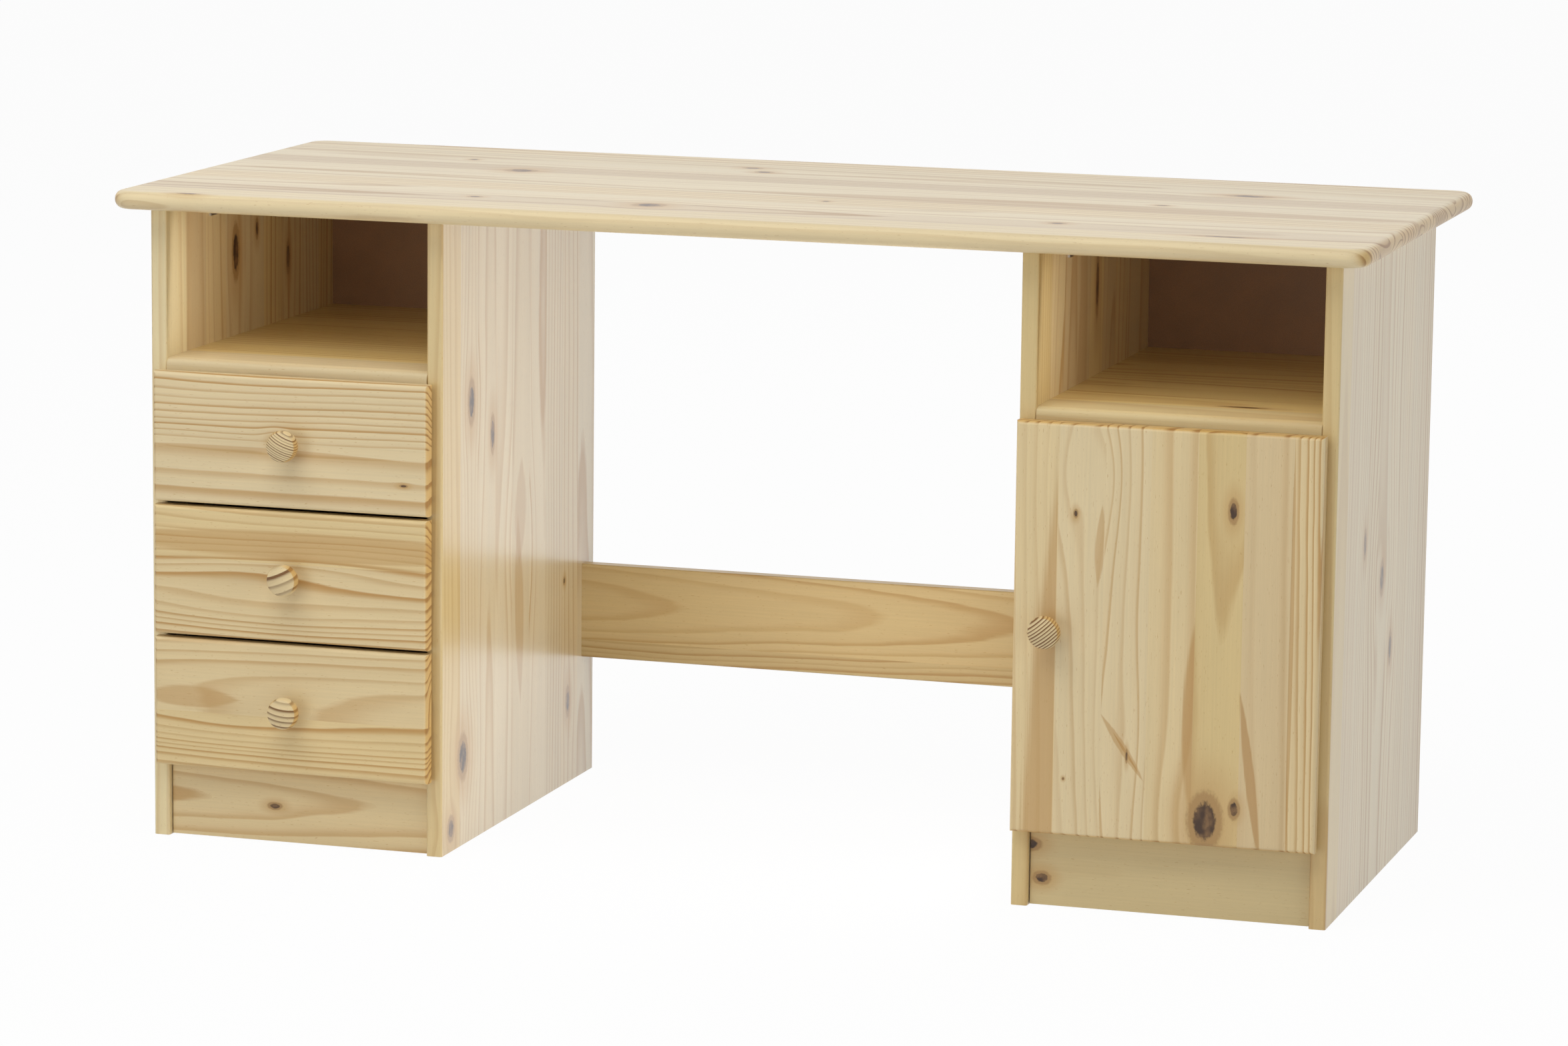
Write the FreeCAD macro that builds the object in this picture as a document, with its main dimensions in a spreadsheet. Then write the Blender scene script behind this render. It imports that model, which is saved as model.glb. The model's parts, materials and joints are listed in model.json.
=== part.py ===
import FreeCAD, Part
import math
import os
import re

import Sketcher

# A pine pedestal desk, in millimetres. +X is to the right, +Y to the back and +Z up.
# The origin is on the floor, under the middle of the desk's overall width and depth.
# Two narrow pedestals carry the top: three drawers on the left, a door on the right,
# and an open cubby above each. A stretcher joins the pedestals behind the knees.

SIZES = {
    # Desk top, a glued panel with round-nosed edges
    "top_width": 1390.0,
    "top_depth": 600.0,
    "top_thickness": 20.0,
    "desk_height": 720.0,
    "top_corner_radius": 25.0,
    "top_nose_share": 0.475,
    "front_overhang": 40.0,
    "side_overhang": 33.0,
    # Pedestals
    "pedestal_width": 340.0,
    "panel_depth": 500.0,
    "board_thickness": 18.0,
    "edge_limit_share": 0.45,
    "panel_edge_radius": 2.5,
    "shelf_height": 535.0,
    "shelf_edge_radius": 8.0,
    "plinth_height": 84.0,
    "plinth_recess": 7.5,
    "plinth_end_gap": 1.2,
    "plinth_floor_gap": 1.0,
    "back_thickness": 3.0,
    "back_inset": 7.0,
    "back_groove_depth": 6.0,
    "back_clearance": 0.2,
    # Stretcher with its countersunk bolts and barrel nuts
    "stretcher_height": 110.0,
    "stretcher_lift": 140.0,
    "stretcher_back_inset": 21.5,
    "stretcher_edge_radius": 2.0,
    "bolt_diameter": 6.0,
    "bolt_head_diameter": 12.0,
    "bolt_head_height": 3.5,
    "bolt_past_nut": 9.0,
    "bolt_clearance": 0.1,
    "nut_diameter": 10.0,
    "nut_length": 14.0,
    "nut_inset": 34.0,
    # Dowels that join the boards
    "dowel_diameter": 8.0,
    "dowel_length": 30.0,
    "dowel_seat": 11.0,
    "dowel_end_gap": 1.0,
    "dowel_clearance": 0.05,
    "dowel_inset": 60.0,
    "stretcher_dowel_spacing": 70.0,
    # Angle brackets that hold the top down
    "bracket_leg": 22.0,
    "bracket_width": 16.0,
    "bracket_thickness": 2.0,
    "bracket_bend_radius": 1.5,
    "bracket_hole_diameter": 4.5,
    "bracket_front_inset": 130.0,
    "bracket_back_inset": 100.0,
    # Drawer fronts and door
    "front_thickness": 18.0,
    "front_gap": 2.0,
    "front_reveal": 10.0,
    "front_cover": 5.5,
    "front_row_gap": 4.0,
    "front_edge_radius": 4.0,
    "door_knob_side_reveal": 2.2,
    # Drawer boxes and the runners that they hang on
    "drawer_side_gap": 2.0,
    "drawer_side_thickness": 14.0,
    "drawer_side_round": 2.0,
    "drawer_lift": 22.0,
    "drawer_top_gap": 16.5,
    "drawer_rear_gap": 32.0,
    "housing_depth": 6.0,
    "drawer_back_thickness": 12.0,
    "drawer_back_inset": 10.0,
    "drawer_back_dado": 5.0,
    "drawer_bottom_thickness": 3.0,
    "drawer_bottom_lift": 8.0,
    "drawer_bottom_groove": 5.0,
    "drawer_bottom_clearance": 0.2,
    "runner_thickness": 8.0,
    "runner_height": 16.0,
    "runner_front_inset": 12.0,
    "runner_rear_gap": 38.0,
    "runner_nose_radius": 3.0,
    "slide_clearance": 0.3,
    # Turned knobs and their screws
    "knob_diameter": 35.0,
    "knob_length": 30.0,
    "knob_base_diameter": 18.0,
    "knob_neck_length": 13.5,
    "knob_neck_radius": 14.0,
    "knob_rim_bulge": 1.6,
    "knob_dome_rise": 4.0,
    "door_knob_inset": 39.0,
    "knob_screw_diameter": 4.0,
    "knob_screw_head_diameter": 8.0,
    "knob_screw_head_height": 2.6,
    "knob_screw_bite": 15.0,
    "knob_screw_clearance": 0.2,
    "knob_bore_clearance": 0.05,
    "knob_bore_spare": 1.5,
    # Single-pivot cup hinges
    "hinge_inset": 95.0,
    "hinge_axis_inset": 8.0,
    "hinge_axis_depth": 9.0,
    "cup_diameter": 35.0,
    "cup_depth": 13.0,
    "cup_wall": 0.8,
    "cup_edge_distance": 3.0,
    "cup_clearance": 0.05,
    "flange_thickness": 1.0,
    "flange_reach": 19.0,
    "flange_inner_reach": 2.0,
    "flange_height": 56.0,
    "flange_corner_radius": 5.0,
    "flange_hole_diameter": 4.0,
    "flange_hole_offset": 9.5,
    "flange_hole_spacing": 45.0,
    "hinge_pin_diameter": 3.0,
    "hinge_pin_clearance": 0.05,
    "knuckle_diameter": 5.6,
    "lug_thickness": 2.5,
    "lug_gap": 0.5,
    "lug_reach": 3.0,
    "arm_width": 10.0,
    "arm_reach": 14.7,
    "arm_thickness": 2.5,
    "arm_setback": 2.0,
    "arm_bend_radius": 1.2,
    "plate_thickness": 6.0,
    "plate_inset": 37.0,
    "plate_length": 42.0,
    "plate_width": 12.0,
    "plate_wing_height": 46.0,
    "plate_wing_length": 14.0,
    "plate_wing_thickness": 2.5,
    "plate_hole_diameter": 4.5,
    "plate_hole_spacing": 32.0,
    # Magnetic catch under the right shelf, and its strike plate on the door
    "catch_inset": 34.0,
    "catch_width": 46.0,
    "catch_depth": 15.0,
    "catch_height": 13.0,
    "catch_round": 1.5,
    "catch_setback": 1.0,
    "magnet_width": 26.0,
    "magnet_depth": 10.0,
    "magnet_height": 6.0,
    "magnet_clearance": 0.1,
    "strike_width": 36.0,
    "strike_height": 12.0,
    "strike_thickness": 1.0,
    "strike_corner_radius": 3.0,
    "strike_gap": 0.3,
    # How far a cut runs past the face that it leaves by
    "cut_overrun": 1.0,
}

DRAWERS = ("lower", "middle", "upper")
NEAR = 1e-4

# Places and sizes that follow from the sheet, as sums of its names
FRONT_REACH = "max(front_overhang; front_gap + front_thickness + knob_length)"
PANEL_FRONT = f"(({FRONT_REACH} - top_depth + front_overhang) / 2)"
PANEL_HEIGHT = "(desk_height - top_thickness)"
SHELF_DEPTH = "(panel_depth - back_inset - back_thickness)"
SHELF_UNDER = "(shelf_height - board_thickness)"
INNER_WIDTH = "(pedestal_width - 2 * board_thickness)"
PEDESTAL_X = {
    "left": "(side_overhang - top_width / 2)",
    "right": "(top_width / 2 - side_overhang - pedestal_width)",
}
INNER_X = {side: f"({start} + board_thickness)" for side, start in PEDESTAL_X.items()}
INNER_END_X = {side: f"({start} + pedestal_width - board_thickness)" for side, start in PEDESTAL_X.items()}
KNEE_X = f"({PEDESTAL_X['left']} + pedestal_width)"
KNEE_WIDTH = f"({PEDESTAL_X['right']} - {KNEE_X})"

FRONT_BACK_Y = f"({PANEL_FRONT} - front_gap)"
FRONT_SPAN = f"({SHELF_UNDER} + front_cover - plinth_height)"
FRONT_HEIGHT = f"(({FRONT_SPAN} - {len(DRAWERS) - 1} * front_row_gap) / {len(DRAWERS)})"
FRONT_WIDTH = "(pedestal_width - 2 * front_reveal)"
FRONT_ROUND = "min(front_edge_radius; front_thickness * edge_limit_share)"
DOOR_WIDTH = "(pedestal_width - front_reveal - door_knob_side_reveal)"
DOOR_X = f"({PEDESTAL_X['right']} + door_knob_side_reveal)"

DRAWER_DEPTH = f"({SHELF_DEPTH} + front_gap - drawer_rear_gap)"
DRAWER_SIDE_HEIGHT = f"({FRONT_HEIGHT} - drawer_lift - drawer_top_gap)"
DRAWER_INNER_WIDTH = f"({INNER_WIDTH} - 2 * drawer_side_gap - 2 * drawer_side_thickness)"
DRAWER_FLOOR = "(drawer_bottom_lift + drawer_bottom_thickness + drawer_bottom_clearance)"
RUNNER_LIFT = f"(({DRAWER_SIDE_HEIGHT} - runner_height) / 2)"
RUNNER_LENGTH = f"({SHELF_DEPTH} - runner_front_inset - runner_rear_gap)"

STRETCHER_Y = f"({PANEL_FRONT} + panel_depth - stretcher_back_inset - board_thickness)"
STRETCHER_MID_Z = "(stretcher_lift + stretcher_height / 2)"

KNOB_FACE_RADIUS = "(knob_diameter / 2 - knob_rim_bulge)"
KNOB_RIM_LENGTH = "(knob_length - knob_dome_rise - knob_neck_length)"

DOOR_EDGE_X = f"({DOOR_X} + {DOOR_WIDTH})"
HINGE_X = f"({DOOR_EDGE_X} - hinge_axis_inset)"
HINGE_Y = f"({FRONT_BACK_Y} - hinge_axis_depth)"
HINGE_HEIGHTS = ("(plinth_height + hinge_inset)", f"(plinth_height + {FRONT_SPAN} - hinge_inset)")
PIN_FROM_CUP = "(cup_edge_distance + cup_diameter / 2 - hinge_axis_inset)"
LUG_START = "(arm_width / 2 + lug_gap)"
LUG_END = f"({LUG_START} + lug_thickness)"
ARM_BAR_EDGE = "(arm_reach - plate_thickness - board_thickness + front_reveal + hinge_axis_inset)"
ARM_FRONT = "(knuckle_diameter / 2 + hinge_axis_depth + front_gap)"

doc = FreeCAD.newDocument("pine_desk")
sheet = doc.addObject("Spreadsheet::Sheet", "dims")
for row, (size_name, size) in enumerate(SIZES.items(), 1):
    sheet.set(f"A{row}", size_name)
    sheet.set(f"B{row}", str(size))
    sheet.setAlias(f"B{row}", size_name)
doc.recompute()

nodes = []


def on_sheet(text):
    """A sum of size names, with each name written as its cell of the sheet."""
    return re.sub(r"[a-z]\w+", lambda word: f"dims.{word[0]}" if word[0] in SIZES else word[0], text)


def finish(thing, label):
    """Name a finished sub-part and keep it for the files."""
    thing.Label = label
    nodes.append(thing)
    return thing


def put(thing, place, turn=None):
    """Bind a thing's place to three sums of sizes, after an optional turn."""
    if turn:
        thing.Placement = FreeCAD.Placement(FreeCAD.Vector(), turn)
    for axis, text in zip("xyz", place):
        thing.setExpression(f"Placement.Base.{axis}", on_sheet(text))
    return thing


def sketch_on(body, plane, offset=None):
    """An empty sketch on one of the body's own planes, moved along that plane's normal."""
    sketch = body.newObject("Sketcher::SketchObject", "outline")
    support = next(part for part in body.Origin.OriginFeatures if part.Role == plane)
    sketch.AttachmentSupport = [(support, "")]
    sketch.MapMode = "FlatFace"
    if offset:
        sketch.setExpression("AttachmentOffset.Base.z", on_sheet(offset))
    return sketch


def measure(sketch, kind, parts, text, drawn):
    """Add a constraint at the size as drawn, then bind it to a sum of sizes."""
    index = sketch.addConstraint(Sketcher.Constraint(kind, *parts, drawn if drawn > NEAR else 1.0))
    sketch.setExpression(f"Constraints[{index}]", on_sheet(text))


def set_radius(sketch, edge, text):
    measure(sketch, "Radius", (edge,), text, sketch.Geometry[edge].Radius)


def pin_point(sketch, edge, end, x, y):
    """Fix a point of the sketch at x, y from its origin; None keeps it on that axis."""
    if x is None and y is None:
        sketch.addConstraint(Sketcher.Constraint("Coincident", edge, end, -1, 1))
        return
    drawn = sketch.getPoint(edge, end)
    if x is None:
        sketch.addConstraint(Sketcher.Constraint("PointOnObject", edge, end, -2))
    else:
        measure(sketch, "DistanceX", (-1, 1, edge, end), x, drawn.x)
    if y is None:
        sketch.addConstraint(Sketcher.Constraint("PointOnObject", edge, end, -1))
    else:
        measure(sketch, "DistanceY", (-1, 1, edge, end), y, drawn.y)


def polygon(sketch, points):
    """A closed outline of straight lines through points given as sums of sizes."""
    count = len(points)
    first = sketch.GeometryCount
    turns = [2 * math.pi * step / count for step in range(count + 1)]
    corners = [FreeCAD.Vector(math.cos(turn), math.sin(turn)) for turn in turns]
    for start, stop in zip(corners, corners[1:]):
        sketch.addGeometry(Part.LineSegment(start, stop))
    for step in range(count):
        sketch.addConstraint(Sketcher.Constraint("Coincident", first + step, 2, first + (step + 1) % count, 1))
    for step, (x, y) in enumerate(points):
        pin_point(sketch, first + step, 1, x, y)


def rectangle(sketch, x, y, width, height):
    """A rectangle from its lower corner; None for x or y starts it on that axis."""
    far_x = width if x is None else f"{x} + {width}"
    far_y = height if y is None else f"{y} + {height}"
    polygon(sketch, [(x, y), (far_x, y), (far_x, far_y), (x, far_y)])


def circles(sketch, centres, radius):
    """Equal circles; a centre is a pair of sums of sizes, or of None on an axis."""
    for x, y in centres:
        circle = sketch.addGeometry(Part.Circle(FreeCAD.Vector(1, 1), FreeCAD.Vector(0, 0, 1), 1))
        pin_point(sketch, circle, 3, x, y)
        set_radius(sketch, circle, radius)


def pad(body, sketch, length, backwards=False):
    feature = body.newObject("PartDesign::Pad", "pad")
    feature.Profile = sketch
    feature.Reversed = backwards
    feature.setExpression("Length", on_sheet(length))
    doc.recompute()
    return feature


def pocket(body, sketch, depth, along_normal=False):
    """Cut a sketch into the body; a cut that removes nothing is an error."""
    before = body.Tip.Shape.Volume
    feature = body.newObject("PartDesign::Pocket", "pocket")
    feature.Profile = sketch
    feature.Reversed = along_normal
    feature.setExpression("Length", on_sheet(depth))
    doc.recompute()
    if not feature.Shape.Volume < before - NEAR:
        raise RuntimeError(f"a pocket in {body.Label} cuts nothing")
    return feature


def fillet(body, radius, wanted):
    """Round the edges whose box, beside the whole body's box, is as wanted."""
    base = body.Tip
    whole = base.Shape.BoundBox
    edges = [f"Edge{number}" for number, edge in enumerate(base.Shape.Edges, 1) if wanted(edge.BoundBox, whole)]
    feature = body.newObject("PartDesign::Fillet", "round")
    feature.Base = (base, edges)
    feature.setExpression("Radius", on_sheet(radius))
    doc.recompute()
    return feature


def same(one, other):
    return abs(one - other) < NEAR


def board(name, plane, size, thickness, place):
    """A rectangular board: its lowest corner is at its place and it is as thick as said."""
    body = doc.addObject("PartDesign::Body", name)
    outline = sketch_on(body, plane)
    rectangle(outline, None, None, *size)
    pad(body, outline, thickness, backwards=plane == "XZ_Plane")
    return put(body, place)


def turned(name, points):
    """A round piece: an outline of radius and height turned about its own Z axis."""
    body = doc.addObject("PartDesign::Body", name)
    profile = sketch_on(body, "XZ_Plane")
    polygon(profile, points)
    return turn_about_z(body, profile)


def turn_about_z(body, profile):
    feature = body.newObject("PartDesign::Revolution", "turning")
    feature.Profile = profile
    feature.ReferenceAxis = (profile, ["V_Axis"])
    doc.recompute()
    return body


def copies(name, master, places):
    """Copies of one piece, each at its place and turn, as one group of separate solids."""
    links = []
    for number, (place, turn) in enumerate(places, 1):
        link = doc.addObject("App::Link", f"{name}_{number}")
        link.LinkedObject = master
        links.append(put(link, place, turn))
    group = doc.addObject("Part::Compound", name)
    group.Links = links
    return group


def drilled(label, blank, tools):
    """A board with its holes cut out of the blank."""
    blank.Label = f"{label}_blank"
    cut = doc.addObject("Part::Cut", label)
    cut.Base = blank
    cut.Tool = tools
    return finish(cut, label)


# Turns that point a piece's own Z axis along +X, -X or -Y, or spin it half round
Z_AXIS = FreeCAD.Vector(0, 0, 1)
TO_RIGHT = FreeCAD.Rotation(Z_AXIS, FreeCAD.Vector(1, 0, 0))
TO_LEFT = FreeCAD.Rotation(Z_AXIS, FreeCAD.Vector(-1, 0, 0))
TO_FRONT = FreeCAD.Rotation(Z_AXIS, FreeCAD.Vector(0, -1, 0))
HALF_ROUND = FreeCAD.Rotation(Z_AXIS, 180)


# Dowels: each runs from a seat in a side panel's face into the end of a board
dowel = turned("dowel", [
    (None, None),
    ("dowel_diameter / 2", None),
    ("dowel_diameter / 2", "dowel_length"),
    (None, "dowel_length"),
])
dowel_hole = turned("dowel_hole", [
    (None, None),
    ("dowel_diameter / 2 + dowel_clearance", None),
    ("dowel_diameter / 2 + dowel_clearance", "dowel_length + 2 * dowel_end_gap"),
    (None, "dowel_length + 2 * dowel_end_gap"),
])
dowel_ends = []
for side in ("left", "right"):
    for height in (f"({SHELF_UNDER} + board_thickness / 2)", "(plinth_height + board_thickness / 2)"):
        for depth in ("dowel_inset", f"{SHELF_DEPTH} - dowel_inset"):
            dowel_ends.append((INNER_X[side], f"{PANEL_FRONT} + {depth}", height, "right"))
            dowel_ends.append((INNER_END_X[side], f"{PANEL_FRONT} + {depth}", height, "left"))
for step in ("-", "+"):
    height = f"{STRETCHER_MID_Z} {step} stretcher_dowel_spacing / 2"
    dowel_ends.append((KNEE_X, f"{STRETCHER_Y} + board_thickness / 2", height, "right"))
    dowel_ends.append((PEDESTAL_X["right"], f"{STRETCHER_Y} + board_thickness / 2", height, "left"))


def from_face(ends, seat):
    """Places that start a seat's depth inside each face and point out of it."""
    back_off = {"right": ("-", TO_RIGHT), "left": ("+", TO_LEFT)}
    return [((f"{x} {back_off[way][0]} ({seat})", y, z), back_off[way][1]) for x, y, z, way in ends]


dowels = finish(copies("dowels", dowel, from_face(dowel_ends, "dowel_seat")), "carcass_dowels")
dowel_holes = copies("dowel_holes", dowel_hole, from_face(dowel_ends, "dowel_seat + dowel_end_gap"))

# Stretcher bolts: countersunk in the pedestals' inner faces, each into a barrel nut
BOLT_LENGTH = "(board_thickness + nut_inset + bolt_past_nut)"


def bolt_outline(clearance):
    return [
        (None, None),
        (f"bolt_head_diameter / 2 + {clearance}", None),
        (f"bolt_diameter / 2 + {clearance}", "bolt_head_height"),
        (f"bolt_diameter / 2 + {clearance}", f"{BOLT_LENGTH} + {clearance}"),
        (None, f"{BOLT_LENGTH} + {clearance}"),
    ]


bolt = turned("bolt", bolt_outline("0"))
bolt_hole = turned("bolt_hole", bolt_outline("bolt_clearance"))
bolt_ends = [
    ((f"{KNEE_X} - board_thickness", f"{STRETCHER_Y} + board_thickness / 2", STRETCHER_MID_Z), TO_RIGHT),
    ((INNER_X["right"], f"{STRETCHER_Y} + board_thickness / 2", STRETCHER_MID_Z), TO_LEFT),
]
finish(copies("bolts", bolt, bolt_ends), "stretcher_bolts")
bolt_holes = copies("bolt_holes", bolt_hole, bolt_ends)

nut = turned("nut", [
    (None, None),
    ("nut_diameter / 2", None),
    ("nut_diameter / 2", "nut_length"),
    (None, "nut_length"),
])
nut_cross = sketch_on(nut, "YZ_Plane", "nut_diameter / 2 + cut_overrun")
circles(nut_cross, [(None, "nut_length / 2")], "bolt_diameter / 2 + bolt_clearance")
pocket(nut, nut_cross, "nut_diameter + 2 * cut_overrun")
nut_hole = turned("nut_hole", [
    (None, None),
    ("nut_diameter / 2 + bolt_clearance", None),
    ("nut_diameter / 2 + bolt_clearance", "nut_length / 2 + board_thickness / 2 + cut_overrun"),
    (None, "nut_length / 2 + board_thickness / 2 + cut_overrun"),
])
NUT_X = (f"{KNEE_X} + nut_inset", f"{PEDESTAL_X['right']} - nut_inset")
NUT_BACK_Y = f"{STRETCHER_Y} + board_thickness / 2 + nut_length / 2"
nut_places = [((x, NUT_BACK_Y, STRETCHER_MID_Z), TO_FRONT) for x in NUT_X]
nut_hole_places = [((x, f"{STRETCHER_Y} + board_thickness + cut_overrun", STRETCHER_MID_Z), TO_FRONT) for x in NUT_X]
finish(copies("nuts", nut, nut_places), "barrel_nuts")
nut_holes = copies("nut_holes", nut_hole, nut_hole_places)

fixing_holes = doc.addObject("Part::Compound", "fixing_holes")
fixing_holes.Links = [dowel_holes, bolt_holes, nut_holes]


# Desk top: a board with round plan corners and a round nose all the way round
top = board(
    "desk_top",
    "XY_Plane",
    ("top_width", "top_depth"),
    "top_thickness",
    ("-top_width / 2", f"{PANEL_FRONT} - front_overhang", PANEL_HEIGHT),
)
fillet(top, "top_corner_radius", lambda edge, whole: same(edge.ZLength, whole.ZLength))
fillet(top, "top_thickness * top_nose_share", lambda edge, whole: same(edge.ZLength, 0))
finish(top, "desk_top")


def side_panel(label, x, inner_on_right):
    """An upright board: eased front edges, and a groove for the back in its inner face."""
    body = board(label, "YZ_Plane", ("panel_depth", PANEL_HEIGHT), "board_thickness", (x, PANEL_FRONT, "0"))
    fillet(
        body,
        "min(panel_edge_radius; board_thickness * edge_limit_share)",
        lambda edge, whole: same(edge.YMax, whole.YMin) and same(edge.ZLength, whole.ZLength),
    )
    groove = sketch_on(body, "XY_Plane")
    start = "board_thickness - back_groove_depth" if inner_on_right else "-cut_overrun"
    rectangle(
        groove,
        start,
        f"{SHELF_DEPTH} - back_clearance",
        "back_groove_depth + cut_overrun",
        "back_thickness + 2 * back_clearance",
    )
    pocket(body, groove, PANEL_HEIGHT, along_normal=True)
    return drilled(label, body, fixing_holes)


side_panel("left_outer_side", PEDESTAL_X["left"], True)
side_panel("left_inner_side", INNER_END_X["left"], False)
side_panel("right_inner_side", PEDESTAL_X["right"], True)
side_panel("right_outer_side", INNER_END_X["right"], False)


def pedestal(side):
    """The boards between a pedestal's two side panels."""
    shelf = board(
        f"{side}_cubby_shelf",
        "XY_Plane",
        (INNER_WIDTH, SHELF_DEPTH),
        "board_thickness",
        (INNER_X[side], PANEL_FRONT, SHELF_UNDER),
    )
    fillet(
        shelf,
        "min(shelf_edge_radius; board_thickness * edge_limit_share)",
        lambda edge, whole: same(edge.YMax, whole.YMin) and same(edge.ZMin, whole.ZMax),
    )
    drilled(f"{side}_cubby_shelf", shelf, fixing_holes)

    bottom = board(
        f"{side}_bottom",
        "XY_Plane",
        (INNER_WIDTH, SHELF_DEPTH),
        "board_thickness",
        (INNER_X[side], PANEL_FRONT, "plinth_height"),
    )
    drilled(f"{side}_bottom", bottom, fixing_holes)

    plinth = board(
        f"{side}_plinth",
        "XZ_Plane",
        (f"{INNER_WIDTH} - 2 * plinth_end_gap", "plinth_height - plinth_floor_gap"),
        "board_thickness",
        (f"{INNER_X[side]} + plinth_end_gap", f"{PANEL_FRONT} + plinth_recess", "plinth_floor_gap"),
    )
    finish(plinth, f"{side}_plinth")

    back = board(
        f"{side}_back",
        "XZ_Plane",
        (f"{INNER_WIDTH} + 2 * (back_groove_depth - back_clearance)", f"{PANEL_HEIGHT} - plinth_height"),
        "back_thickness",
        (
            f"{INNER_X[side]} - back_groove_depth + back_clearance",
            f"{PANEL_FRONT} + {SHELF_DEPTH}",
            "plinth_height",
        ),
    )
    finish(back, f"{side}_back")


for side in ("left", "right"):
    pedestal(side)

stretcher = board(
    "stretcher",
    "XZ_Plane",
    (KNEE_WIDTH, "stretcher_height"),
    "board_thickness",
    (KNEE_X, STRETCHER_Y, "stretcher_lift"),
)
fillet(stretcher, "stretcher_edge_radius", lambda edge, whole: same(edge.XLength, whole.XLength))
drilled("stretcher", stretcher, fixing_holes)


# Angle brackets: one leg on a side panel's inner face, the other under the top
bracket = doc.addObject("PartDesign::Body", "bracket")
bracket_outline = sketch_on(bracket, "XZ_Plane")
polygon(bracket_outline, [
    (None, None),
    ("bracket_thickness", None),
    ("bracket_thickness", "bracket_leg - bracket_thickness"),
    ("bracket_leg", "bracket_leg - bracket_thickness"),
    ("bracket_leg", "bracket_leg"),
    (None, "bracket_leg"),
])
pad(bracket, bracket_outline, "bracket_width", backwards=True)
fillet(
    bracket,
    "bracket_bend_radius",
    lambda edge, whole: same(edge.YLength, whole.YLength)
    and not same(edge.XMin, whole.XMin)
    and not same(edge.XMax, whole.XMax)
    and not same(edge.ZMin, whole.ZMin),
)
side_hole = sketch_on(bracket, "YZ_Plane")
circles(side_hole, [("bracket_width / 2", "bracket_leg / 2")], "bracket_hole_diameter / 2")
pocket(bracket, side_hole, "bracket_thickness + cut_overrun", along_normal=True)
top_hole = sketch_on(bracket, "XY_Plane", "bracket_leg")
circles(top_hole, [("bracket_leg / 2", "bracket_width / 2")], "bracket_hole_diameter / 2")
pocket(bracket, top_hole, "bracket_thickness + cut_overrun")

bracket_places = []
BRACKET_Z = f"{PANEL_HEIGHT} - bracket_leg"
for side in ("left", "right"):
    for depth in ("bracket_front_inset", "panel_depth - bracket_back_inset"):
        bracket_places.append(((INNER_X[side], f"{PANEL_FRONT} + {depth} - bracket_width / 2", BRACKET_Z), None))
        bracket_places.append((
            (INNER_END_X[side], f"{PANEL_FRONT} + {depth} + bracket_width / 2", BRACKET_Z),
            HALF_ROUND,
        ))
finish(copies("brackets", bracket, bracket_places), "top_brackets")


def knob(label, x, z):
    """A turned knob on a front: base, hollow neck, swelling rim and domed face."""
    body = doc.addObject("PartDesign::Body", label)
    profile = sketch_on(body, "XZ_Plane")
    base = SIZES["knob_base_diameter"] / 2
    face = SIZES["knob_diameter"] / 2 - SIZES["knob_rim_bulge"]
    rim_start = SIZES["knob_neck_length"]
    rim_end = SIZES["knob_length"] - SIZES["knob_dome_rise"]
    corners = [
        FreeCAD.Vector(),
        FreeCAD.Vector(base, 0),
        FreeCAD.Vector(face, rim_start),
        FreeCAD.Vector(face, rim_end),
        FreeCAD.Vector(0, SIZES["knob_length"]),
    ]
    waist = (corners[1] + corners[2]) / 2 + FreeCAD.Vector(-SIZES["knob_rim_bulge"], SIZES["knob_rim_bulge"])
    swell = (corners[2] + corners[3]) / 2 + FreeCAD.Vector(SIZES["knob_rim_bulge"], 0)
    crown = (corners[3] + corners[4]) / 2 + FreeCAD.Vector(0, SIZES["knob_rim_bulge"])
    edges = [
        Part.LineSegment(corners[0], corners[1]),
        Part.Arc(corners[1], waist, corners[2]),
        Part.Arc(corners[2], swell, corners[3]),
        Part.Arc(corners[3], crown, corners[4]),
        Part.LineSegment(corners[4], corners[0]),
    ]
    for edge in edges:
        profile.addGeometry(edge)

    def end_at(edge, corner):
        """Which end of the edge, 1 or 2, lies at the corner."""
        return min((1, 2), key=lambda end: profile.getPoint(edge, end).distanceToPoint(corners[corner]))

    count = len(corners)
    for corner in range(count):
        before = (corner - 1) % count
        profile.addConstraint(
            Sketcher.Constraint("Coincident", before, end_at(before, corner), corner, end_at(corner, corner))
        )
    pin_point(profile, 0, end_at(0, 0), None, None)
    pin_point(profile, 0, end_at(0, 1), "knob_base_diameter / 2", None)
    pin_point(profile, 1, end_at(1, 2), KNOB_FACE_RADIUS, "knob_neck_length")
    pin_point(profile, 2, end_at(2, 3), KNOB_FACE_RADIUS, f"knob_neck_length + {KNOB_RIM_LENGTH}")
    pin_point(profile, 4, end_at(4, 4), None, "knob_length")
    set_radius(profile, 1, "knob_neck_radius")
    set_radius(profile, 2, f"(({KNOB_RIM_LENGTH} / 2) ^ 2 + knob_rim_bulge ^ 2) / (2 * knob_rim_bulge)")
    profile.addConstraint(Sketcher.Constraint("PointOnObject", 3, 3, -2))
    turn_about_z(body, profile)
    bore = sketch_on(body, "XY_Plane")
    circles(bore, [(None, None)], "knob_screw_diameter / 2 + knob_bore_clearance")
    pocket(body, bore, "knob_screw_bite + knob_bore_spare", along_normal=True)
    put(body, (x, f"{FRONT_BACK_Y} - front_thickness", z), TO_FRONT)
    return finish(body, label)


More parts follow.
